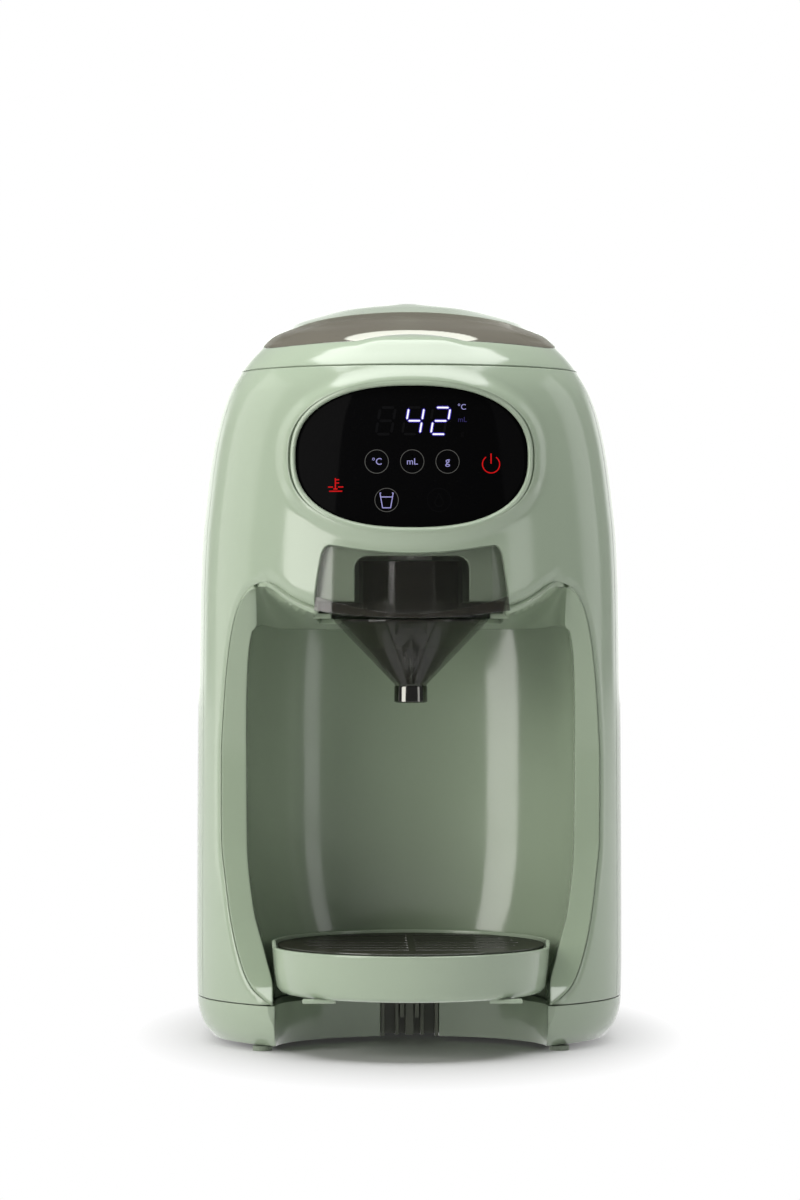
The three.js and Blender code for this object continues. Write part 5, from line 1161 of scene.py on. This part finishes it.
def digit(column, names, width, gap=0.5):
    """Slanted bars of a digit whose lower left corner is at a place in the picture"""
    x0, z0 = from_photo(column, DIGIT_ROW)
    bars = []
    for name in names:
        ends = []
        for u, v in SEGMENTS[name]:
            rise = v * DIGIT_HALF_HEIGHT
            ends.append((x0 + u * DIGIT_WIDTH + rise * DIGIT_SLANT, z0 + rise))
        (ax, az), (cx, cz) = ends
        length = math.hypot(cx - ax, cz - az)
        ux, uz = (cx - ax) / length * gap, (cz - az) / length * gap
        bars.append(stroke(ax + ux, az + uz, cx - ux, cz - uz, width))
    return bars


FOUR = ("upper_left", "upper_right", "middle", "lower_right")
TWO = ("top", "upper_right", "middle", "lower_left", "bottom")
_, LEFT_DIGIT, RIGHT_DIGIT = (column + LIT_SHIFT for column in DIGIT_COLUMNS)
DIGIT_LAYERS = (("digit_glow", HALO, 1.55, 0.25, 0.12), ("digits", LIT, 0.74, 0.7, 0.18))
for name, material, width, gap, rise in DIGIT_LAYERS:
    bars = digit(LEFT_DIGIT, FOUR, width, gap) + digit(RIGHT_DIGIT, TWO, width, gap)
    sign(name, bars, material, rise)
unlit = digit(DIGIT_COLUMNS[0], SEGMENTS, 1.25)
for column, lit in zip(DIGIT_COLUMNS[1:], (FOUR, TWO)):
    unlit += digit(column, [name for name in SEGMENTS if name not in lit], 1.15)
sign("digits_unlit", unlit, UNLIT_INK_GLOW, 0.1)


def circle_bars(column, row, radius, width, start=0.0, end=2 * math.pi, steps=56):
    cx, cz = from_photo(column, row)
    bars = []
    for i in range(steps):
        a = start + (end - start) * i / steps
        b = start + (end - start) * (i + 1) / steps
        low = radius - width / 2
        high = radius + width / 2
        corners = ((low, a), (high, a), (high, b), (low, b))
        bars.append([(cx + r * math.sin(t), cz + r * math.cos(t)) for r, t in corners])
    return bars


KEY_RADIUS = 5.3
for name, column, width in zip(("degrees", "millilitres", "grams"), KEY_COLUMNS, (0.3, 0.26, 0.26)):
    sign("ring_" + name, circle_bars(column, KEY_ROW, KEY_RADIUS, width), INK)
sign("ring_cup", circle_bars(*CUP_SPOT, KEY_RADIUS, 0.28), INK)
sign("ring_drop", circle_bars(*DROP_SPOT, KEY_RADIUS, 0.26), UNLIT_INK_GLOW)


def lettering(name, text, column, row, size, material):
    """Plain letters centred on a place in the picture, laid on the lens"""
    bpy.ops.object.text_add()
    words = bpy.context.active_object
    words.data.body = text
    words.data.size = size
    words.data.align_x = "CENTER"
    words.data.align_y = "CENTER"
    words.data.resolution_u = 4
    bpy.ops.object.convert(target="MESH")
    words = bpy.context.active_object
    words.name = name
    x0, z0 = from_photo(column, row)
    for vertex in words.data.vertices:
        x = x0 + vertex.co.x
        z = z0 + vertex.co.y
        vertex.co = (x * MM, (float(lens_y(x, z)) - 0.16) * MM, z * MM)
    face_from(words, INSIDE_PANEL)
    settled(words, "machine_body", "panel_black", material)


lettering("letters_degrees", "°C", KEY_COLUMNS[0] + 0.2, KEY_ROW + 0.3, 4.3, VIOLET)
lettering("letters_millilitres", "mL", KEY_COLUMNS[1], KEY_ROW + 0.3, 4.1, VIOLET)
lettering("letters_grams", "g", KEY_COLUMNS[2] + 0.1, KEY_ROW - 0.5, 4.9, VIOLET)
lettering("unit_degrees", "°C", UNIT_COLUMN - 0.4, 407.8, 3.6, VIOLET)
lettering("unit_millilitres", "mL", UNIT_COLUMN, 420.4, 3.3, VIOLET_DIM)
lettering("unit_grams", "g", UNIT_COLUMN, 434.0, 3.4, UNLIT_INK_GLOW)


def photo_strokes(spot, lines, width):
    """Bars whose ends lie so many pixels from a place in the picture"""
    bars = []
    for ax, ay, bx, by in lines:
        start = from_photo(spot[0] + ax, spot[1] + ay)
        end = from_photo(spot[0] + bx, spot[1] + by)
        bars.append(stroke(*start, *end, width, pointed=False))
    return bars


cup = [(-6.6, -7, -4, 7.8), (6.6, -7, 4, 7.8), (-4, 7.8, 4, 7.8)]
cup += [(-5.9, -3, 5.9, -3), (-6.6, -7, -5.4, -7), (5.4, -7, 6.6, -7)]
sign("cup_sign", photo_strokes(CUP_SPOT, cup, 0.42), VIOLET)
drop = photo_strokes(DROP_SPOT, [(0, -6.8, -4.2, 1.6), (0, -6.8, 4.2, 1.6)], 0.3)
drop += circle_bars(DROP_SPOT[0], DROP_SPOT[1] + 2.2, 1.95, 0.3, 1.2, 5.1, 24)
sign("drop_sign", drop, UNLIT_INK_GLOW)
power = circle_bars(*POWER_SPOT, 3.95, 0.5, 0.62, 2 * math.pi - 0.62, 40)
power += photo_strokes(POWER_SPOT, [(0, -10.8, 0, -0.6)], 0.55)
sign("power_sign", power, RED)
heat = [(0, 0, 0, 11.4), (0.5, 1.6, 3.7, 1.6), (0.5, 4.8, 3.7, 4.8), (-7.3, 8.8, -2.3, 8.8)]
heat += [(2.7, 8.8, 7.9, 8.8), (-6.3, 13, 6.9, 13), (-1.9, 10.8, 2.1, 10.8)]
sign("heating_sign", photo_strokes((HEAT_COLUMN, HEAT_TOP_ROW), heat, 0.55), RED)
dots = []
for column, row, radius in SCOOP_SPOTS:
    dots += circle_bars(column, row, radius / 2, radius, steps=12)
sign("scoop_sign", dots, UNLIT_INK_GLOW)


# Funnel drawer: the curved smoky front, the band along its foot, the flange with its collar
def plate_point(x, z):
    return x, front_y(x, z) - 0.05, z


def plate_keep(x, z):
    return np.minimum(-holder_margin(x, z), z - holder_bottom(x))


holder_columns = np.linspace(-47, 47, 121)
plate = laid("holder_plate", holder_columns, np.linspace(197, 234, 60), plate_point, plate_keep)
walled(plate, INSIDE_HEAD, 3)


def foot_band_keep(x, z):
    return np.minimum(plate_keep(x, z) - 0.25, HOLDER_FOOT_Z + 2.2 + 8.2 * (x / 45) ** 2 - z)


def foot_band_point(x, z):
    return x, front_y(x, z) - 0.85, z


foot_band = laid("holder_band", holder_columns, np.linspace(197, 212, 40), foot_band_point, foot_band_keep)
walled(foot_band, INSIDE_HEAD, 0.75)

FLANGE_HALF = 42
FLANGE_CORNER = 20
FLANGE_REAR_Y = -47.5
FLANGE_TOP_Z = 205.7
FLANGE_FOOT_Z = 199.0
BORE_RADIUS = 22
COLLAR_WALL = 2
COLLAR_TOP_Z = 225


def flange_ring(z, inset):
    half = FLANGE_HALF - inset
    points = []
    for x in np.linspace(-half, half, 40):
        points.append((x, float(front_y(x, 200)) + 3.1 + inset, z))
    for side, start in ((1, 0), (-1, math.pi / 2)):
        for turn in np.linspace(start, start + math.pi / 2, 14):
            x = side * (half - FLANGE_CORNER) + FLANGE_CORNER * math.cos(turn)
            y = FLANGE_REAR_Y - FLANGE_CORNER + (FLANGE_CORNER - inset) * math.sin(turn)
            points.append((x, y, z))
    return points


def bore_ring(z, radius):
    start = math.atan2(-35, -42)
    turns = [start + 2 * math.pi * i / FLANGE_POINTS for i in range(FLANGE_POINTS)]
    return [(radius * math.cos(turn), FUNNEL_Y + radius * math.sin(turn), z) for turn in turns]


FLANGE_POINTS = len(flange_ring(FLANGE_TOP_Z, 0))
flange = lofted(
    "holder_flange",
    [
        bore_ring(FLANGE_FOOT_Z, BORE_RADIUS),
        bore_ring(FLANGE_FOOT_Z, BORE_RADIUS + 11),
        flange_ring(201.9, 0.5),
        flange_ring(202.4, 0),
        flange_ring(FLANGE_TOP_Z - 0.5, 0),
        flange_ring(FLANGE_TOP_Z, 0.5),
        bore_ring(FLANGE_TOP_Z, BORE_RADIUS + COLLAR_WALL),
        bore_ring(COLLAR_TOP_Z - 0.4, BORE_RADIUS + COLLAR_WALL),
        bore_ring(COLLAR_TOP_Z, BORE_RADIUS + COLLAR_WALL - 0.4),
        bore_ring(COLLAR_TOP_Z, BORE_RADIUS + 0.3),
        bore_ring(COLLAR_TOP_Z - 0.3, BORE_RADIUS),
        bore_ring(FLANGE_FOOT_Z, BORE_RADIUS),
    ],
    capped=False,
)
outward(flange)
smooth(plate)
settled(plate, "funnel_drawer", "smoky_clear", SMOKE_PLATE)
holder = joined([foot_band, flange])
holder.name = "holder_front"
smooth(holder)
settled(holder, "funnel_drawer", "smoky_clear", SMOKE, "funnel_holder")

# Channel of the drawer: its rails lie close under the flange and slant back behind the head's lip
RAIL_RAISE = 2.8
RAIL_FRONT_Y = -84.0
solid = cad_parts["funnel_guide"]
points = []
for vertex in solid.data.vertices:
    x, y, z = vertex.co / MM
    if z < FLANGE_FOOT_Z:
        y = max(y, RAIL_FRONT_Y)
        z += RAIL_RAISE
    points.append((x, y, z))
channel = new_piece("drawer_channel", points, [list(face.vertices) for face in solid.data.polygons])
outward(channel)
settled(channel, "machine_body", "sage_inner", SAGE_INSIDE_SHADED, "funnel_guide")

funnel_profile = [(5.6, 160.0), (5.9, 159.7), (6.9, 159.7), (7.2, 160.0), (7.2, 167.2), (7.6, 168.2)]
funnel_profile += [(34.6, 196.3), (35.5, 197.2), (35.5, 198.1), (35.2, 198.4), (33.0, 198.4), (32.5, 198.0)]
funnel_profile += [(6.2, 169.6), (5.6, 168.4), (5.6, 160.0)]
funnel = spun("funnel_cone", funnel_profile, FUNNEL_Y)
settled(funnel, "funnel_drawer", "smoky_clear", SMOKE_CONE, "funnel")
sleeve_profile = [(7.25, 160.2), (7.4, 160.0), (7.65, 160.2), (7.65, 167.0), (7.5, 167.3), (7.25, 167.3)]
spout_sleeve = spun("spout_sleeve", sleeve_profile + sleeve_profile[:1], FUNNEL_Y)
settled(spout_sleeve, "funnel_drawer", "smoky_clear", SLEEVE)
core_profile = [(0.0, 168.5), (3.4, 168.5), (4.0, 168.8), (5.9, 173), (6.8, 175.8), (7.1, 179), (7.1, 182)]
core_profile += [(6.6, 183.6), (5.2, 184.6), (5.2, 185.2), (8.6, 186.6), (9.4, 187.6), (9.2, 188.8)]
core_profile += [(8.0, 190.6), (6.4, 193), (5.2, 193.9), (0.0, 194.0)]
core = spun("mixing_core_body", core_profile, FUNNEL_Y, 72)
FIN_OUTLINE = [(6.0, 168.6), (13.2, 176), (18.6, 184.6)]
FIN_OUTLINE += [(-reach, z) for reach, z in FIN_OUTLINE[::-1]]
fins = []
for name, x, y in (("across", 1, 0), ("along", 0, 1)):
    both = []
    for offset in (-0.6, 0.6):
        both.append([(r * x + offset * y, FUNNEL_Y + r * y + offset * x, z) for r, z in FIN_OUTLINE])
    fin = lofted("core_fin_" + name, both)
    outward(fin)
    fins.append(fin)
core = joined([core] + fins)
smooth(core)
settled(core, "funnel_drawer", "clear_plastic", CORE, "mixing_core")

# Drip tray with its apron, lower front edge and tabs, and the slotted cover
TAB_X = 42
TAB_HALF = 7.5
COVER_RADIUS = 61.4
COVER_TOP_Z = 49.2
SLOT_HALF = 1.5
SLOT_PITCH = 14.0
MIDDLE_BAR_HALF = 1.6
tray_profile = [(0.0, 27.0), (58.0, 27.0), (59.8, 27.3), (61.4, 28.4), (62.3, 30.2), (63.2, 38), (63.9, 47)]
tray_profile += [(64.0, 49.9), (63.7, 50.4), (62.5, 50.5), (62.1, 50.1), (62.0, 47.0), (60.4, 46.8)]
tray_profile += [(60.2, 46.2), (60.0, 31), (58.6, 29.4), (57.0, 29.1), (0.0, 29.1)]
tray = spun("tray_dish", tray_profile, TRAY_Y, 160)
for vertex in tray.data.vertices:
    high = smooth_step(46.5, 49.5, vertex.co.z / MM)
    ahead = smooth_step(-88, -95, vertex.co.y / MM)
    vertex.co.z -= float(2.45 * high * ahead) * MM
tabs = []
for middle in (-TAB_X, TAB_X):
    tabs.append(web("tray_tab", (middle - TAB_HALF, -132.0, 25.5), (middle + TAB_HALF, -126.4, 27.3)))
tray = joined([tray] + tabs)
smooth(tray)
settled(tray, "drip_tray", "sage_gloss", SAGE, "tray")

SLOT_MIDDLES = [TRAY_Y + (i - 3) * SLOT_PITCH for i in range(7)]
slot_rows = []
for middle in SLOT_MIDDLES:
    slot_rows += [middle + step for step in (-1.5, -1.0, -0.5, 0, 0.5, 1.0, 1.5, 3.6, 5.7, 7.8, 9.9)]
for i in range(12):
    slot_rows += [TRAY_Y - COVER_RADIUS + 1.8 * i, TRAY_Y + COVER_RADIUS - 1.8 * i]
slot_rows = sorted(slot_rows)
slot_rows = [row for i, row in enumerate(slot_rows) if i == 0 or row - slot_rows[i - 1] > 0.2]


def cover_edge(x, y):
    return COVER_RADIUS - 0.1 - np.hypot(x, y - TRAY_Y)


def cover_keep(x, y):
    kept = cover_edge(x, y)
    for middle in SLOT_MIDDLES:
        half = math.sqrt(COVER_RADIUS**2 - (middle - TRAY_Y) ** 2) - 12
        past = np.maximum(np.abs(x) - (half - SLOT_HALF), 0)
        slot = np.hypot(past, y - middle) - SLOT_HALF
        kept = np.minimum(kept, np.maximum(slot, MIDDLE_BAR_HALF - np.abs(x)))
    return kept


def cover_point(x, y):
    return x, y, COVER_TOP_Z - 0.35 * smooth_step(1.6, 0.0, cover_edge(x, y))


cover = laid("cover_plate", np.linspace(-62, 62, 97), np.array(slot_rows), cover_point, cover_keep)
walled(cover, (0, TRAY_Y, 0), 2.1)
smooth(cover)


def cover_finish():
    f = Finish("dark smoky cover")
    tone = f.mix(f.drift(0, 1, 30), (0.016, 0.016, 0.011, 1), (0.026, 0.026, 0.019, 1))
    rough = f.drift(0.05, 0.13, 52, 4, 0.6, (0.3, 0.75))
    return f.dull(tone, rough, f.rounded(0.35), 1.0, 0.14)


COVER = cover_finish()
settled(cover, "tray_grille", "smoky_clear", COVER, "tray_cover")


# Spring of the outlet valve, coiled at one length; on the machine it shortens as the valve lifts
SPRING_RADIUS = 6.5
SPRING_WIRE = 0.68
SPRING_TURNS = 4
SPRING_END = 0.72
corners = [Vector(corner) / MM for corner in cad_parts["valve_spring"].bound_box]
spring_low = min(corner.z for corner in corners) + SPRING_END
spring_high = max(corner.z for corner in corners) - SPRING_END
spring_y = sum(corner.y for corner in corners) / len(corners)
spring_rings = []
for share in np.linspace(0, 1, 48 * SPRING_TURNS + 1):
    turn = share * SPRING_TURNS * 2 * math.pi
    points = []
    for t in np.linspace(0, 2 * math.pi, 12, endpoint=False):
        out = SPRING_RADIUS + SPRING_WIRE * math.cos(t)
        z = spring_low + (spring_high - spring_low) * share + SPRING_WIRE * math.sin(t)
        points.append((out * math.cos(turn), spring_y + out * math.sin(turn), z))
    spring_rings.append(points)
spring = lofted("valve_spring_wire", spring_rings)
outward(spring)
smooth(spring, 60)
settled(spring, "tank", "steel", STEEL, "valve_spring")
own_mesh(spring)


# Water tank and its lid, behind the body
TANK_COUNT = 150
TANK_WALL = 2.2
TANK_MIDDLE_Y = 105.0
NOZZLE_Y = 104


def tank_ring(level, inset, z):
    """The body's outline at one height, moved inwards and cut off at the tank's front, laid at a height"""
    x, y, _ = skin(walk_at(level), np.linspace(0.001, math.pi - 0.001, 4001))
    along_x = np.gradient(x)
    along_y = np.gradient(y)
    size = np.hypot(along_x, along_y)
    out_x = along_y / size
    out_y = -along_x / size
    away = np.sign(out_x * x + out_y * (y - TANK_MIDDLE_Y))
    x = x - inset * out_x * away
    y = y - inset * out_y * away
    kept = y > TANK_FRONT_Y + inset
    far = walked(x[kept], y[kept])
    spread = np.linspace(0, far[-1], TANK_COUNT)
    x = np.interp(spread, far, x[kept])
    y = np.interp(spread, far, y[kept])
    y[[0, -1]] = TANK_FRONT_Y + inset
    return [(px, py, z) for px, py in zip(x, y)]


def tank_rings(heights, insets):
    return [tank_ring(z, inset, z) for z, inset in zip(heights, insets)]


def tank_hoop(name, level, outer, inner, heights):
    """An upright hoop inside the body's outline at one height"""
    rings = [tank_ring(level, outer, z) for z in heights]
    rings += [tank_ring(level, inner, z) for z in (heights[-1], heights[0])]
    made = lofted(name, rings + [rings[0]], capped=False)
    outward(made)
    return made


outer_heights = np.concatenate([[44.6, 45.2, 46.4], np.linspace(49, TANK_TOP_Z - 0.6, 60), [TANK_TOP_Z]])
rings = tank_rings(outer_heights, [1.6, 0.6, 0.1] + [0.0] * 60 + [0.4])
inner_heights = np.concatenate([[TANK_TOP_Z, TANK_TOP_Z - 0.4], np.linspace(309, 50, 50), [47.6, 46.8]])
rings += tank_rings(inner_heights, [TANK_WALL - 0.4, TANK_WALL] + [TANK_WALL] * 50 + [2.9, 4.6])
tank = lofted("tank_body", rings)
outward(tank)
nozzle_profile = [(6.0, 38.4), (6.4, 38.0), (7.6, 38.0), (8.0, 38.4), (8.0, 44.7), (6.0, 44.7), (6.0, 38.4)]
nozzle = spun("tank_nozzle", nozzle_profile, NOZZLE_Y, 48)
tank = joined([tank, nozzle])
smooth(tank)
settled(tank, "tank", "clear_plastic", CLEAR, "water_tank")


def cap_keep(angle, walk):
    _, y, _ = skin(walk, angle)
    return y - TANK_FRONT_Y


cap_angles = even_angles(-0.25, math.pi + 0.25, 171, 320)
cap_walks = np.linspace(walk_at(TANK_TOP_Z + SEAM_GAP), WALK[-1], 110)
cap = laid("tank_lid_skin", cap_angles, cap_walks, lambda angle, walk: skin(walk, angle), cap_keep)
walled(cap, (0, 90, 300), LID_WALL)
cap_front = upright_wall("tank_lid_front", TANK_FRONT_Y, TANK_FRONT_Y + 3.4, TANK_TOP_Z + SEAM_GAP, 0.1)
skirt = tank_hoop("tank_lid_skirt", TANK_TOP_Z, 2.9, 5.0, (306.4, 307, 314.8))
cap_rim = tank_hoop("tank_lid_rim", TANK_TOP_Z + 1, 0.6, 3.4, (312.3, 314.9))
cap = joined([cap, cap_front, skirt, cap_rim])
smooth(cap)
settled(cap, "tank_cap", "sage_gloss", SAGE, "tank_lid")

# Finishes of the CAD solids that stay in sight
KEPT = (
    (DARK, "base_plate", "display_module", "tank_socket", "pump", "power_inlet"),
    (RUBBER, "foot_front_left", "foot_front_right", "foot_rear_left", "foot_rear_right"),
    (STEEL, "base_screw_1", "base_screw_2", "base_screw_3", "base_screw_4", "lid_hinge_pin"),
    (STEEL, "dosing_shaft", "dosing_motor", "heater", "thermostat"),
    (BOARD, "control_board", "power_board"),
    (WHITE, "head_deck", "powder_chute", "dosing_wheel", "agitator", "drive_pinion", "water_nozzle"),
    (WHITE, "tank_valve", "valve_cage", "float_guide", "level_float"),
    (SILICONE, "lid_seal", "tank_seal", "tank_hose", "heater_hose", "nozzle_hose"),
    (CLEAR, "powder_hopper"),
    (SAGE_INSIDE_SHADED, "hopper_surround"),
    (RECESS, "tray_bracket", "tray_socket"),
)
for material, *nodes in KEPT:
    for node in nodes:
        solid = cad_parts[node]
        solid.data.materials.clear()
        solid.data.materials.append(material)
        for face in solid.data.polygons:
            face.material_index = 0


# Studio: pale floor, white surround and five soft panels of light
SHADOW_HALF_WIDTH = 0.1
SHADOW_HALF_DEPTH = 0.19
SHADOW_MIDDLE_Y = -0.005


def floor_finish():
    """Pale floor that keeps the shadow near the object, darker for the camera as painted shade, and is white
    further off
    """
    f = Finish("pale floor")
    rays = f.node("ShaderNodeLightPath").socket.node.outputs
    seen = Wire(f, rays["Is Camera Ray"])
    mirrored = Wire(f, rays["Is Glossy Ray"])
    width, depth, _ = f.split(f.place())
    behind_body = f.range(depth, 0.3, 0.6, 0.0, 1.0)
    near_body = f.range(depth, -0.6, -0.35, 0.0, 1.0)
    white_for = seen + Wire(f, rays["Is Transmission Ray"]) + mirrored * behind_body
    across = width / SHADOW_HALF_WIDTH
    along = (depth - SHADOW_MIDDLE_Y) / SHADOW_HALF_DEPTH
    far = f.node("ShaderNodeMath", {"operation": "SQRT"}, {0: across * across + along * along})
    grain = f.mix(f.drift(0, 1, 6), (0.74, 0.74, 0.74, 1), (0.76, 0.76, 0.76, 1))
    # For the camera the floor is mixed towards grey: painted shade that deepens the shadow near the object
    tone = f.mix(seen * 0.42, grain, (0.1, 0.1, 0.1, 1))
    lit = f.node("ShaderNodeBsdfPrincipled", values={"Base Color": tone, "Roughness": 0.6})
    glow = f.node("ShaderNodeEmission", values={"Color": (1, 1, 1, 1), "Strength": 1.0})
    beyond = f.range(far, 0.72, 1.3, 0.0, 1.0)
    white = beyond * white_for + mirrored * near_body * (1 - behind_body)
    mixed = f.node("ShaderNodeMixShader", values={0: white, 1: lit, 2: glow})
    f.node("ShaderNodeOutputMaterial", values={"Surface": mixed})
    return f.material


bpy.ops.mesh.primitive_plane_add(size=14, location=(0, 0, 0))
floor = bpy.context.active_object
floor.name = "floor"
floor.data.materials.append(floor_finish())


def soft_panel(name, azimuth, height, distance, size, radiance, tint=(1, 1, 1)):
    """A soft lamp seen from the body at an azimuth from the front, plus to the right"""
    turn = math.radians(azimuth)
    place = Vector((math.sin(turn) * distance, -math.cos(turn) * distance, height))
    lamp = bpy.data.lights.new(name, "AREA")
    lamp.shape = "RECTANGLE"
    lamp.size = size[0]
    lamp.size_y = size[1]
    lamp.energy = radiance * math.pi * size[0] * size[1]
    lamp.color = tint
    made = bpy.data.objects.new(name, lamp)
    bpy.context.collection.objects.link(made)
    made.location = place
    aim = Vector((0, -0.03, 0.2)) - place
    made.rotation_euler = aim.to_track_quat("-Z", "Y").to_euler()
    return made


soft_panel("panel_left_side", -104, 0.45, 1.3, (0.8, 1.5), 1.0, (1, 0.985, 0.95))
soft_panel("panel_left_front", -50, 0.5, 1.5, (0.75, 1.5), 5.6, (1, 0.985, 0.95))
soft_panel("panel_right_front", 54, 0.5, 1.6, (0.4, 1.4), 1.9)
soft_panel("panel_right_side", 108, 0.45, 1.4, (0.5, 1.5), 0.9)
soft_panel("panel_over", 0, 1.5, 0.1, (1.7, 0.9), 6.0)

world = bpy.data.worlds.new("white studio")
bpy.context.scene.world = world


def surround():
    """Dim all round and lighter in front, with a bright band low behind the body, and white for the camera"""
    f = Finish("white studio", world)
    _, depth, height = f.split(f.node("ShaderNodeTexCoord"))
    greys = [(0.0, 0.12), (0.55, 0.13), (1.0, 0.4)]
    stops = [(place, (grey, grey, grey, 1)) for place, grey in greys]
    levels = f.ramp(f.range(depth, -1, 1, 0, 1), *stops)
    band = f.range(depth, 0.76, 0.82, 0, 1) * f.range(height, 0.3, 0.16, 0, 1)
    backdrop = f.mix(band, levels, (1.7, 1.7, 1.7, 1))
    seen = Wire(f, f.node("ShaderNodeLightPath").socket.node.outputs["Is Camera Ray"])
    background = f.node("ShaderNodeBackground", values={0: f.mix(seen, backdrop, (1, 1, 1, 1))})
    f.node("ShaderNodeOutputWorld", values={0: background})


surround()

# Camera
FOCAL_LENGTH = 127.2
CAMERA_PLACE = (-0.0316, -2.038, 0.207)
CAMERA_TURN = math.radians(-0.78)
camera_data = bpy.data.cameras.new("camera")
camera = bpy.data.objects.new("camera", camera_data)
bpy.context.collection.objects.link(camera)
camera_data.lens = FOCAL_LENGTH
camera_data.sensor_width = 36
camera_data.sensor_fit = "AUTO"
camera_data.clip_end = 30
camera.location = CAMERA_PLACE
camera.rotation_euler = (math.pi / 2, 0, CAMERA_TURN)
bpy.context.scene.camera = camera
bpy.context.scene.view_settings.view_transform = "Standard"
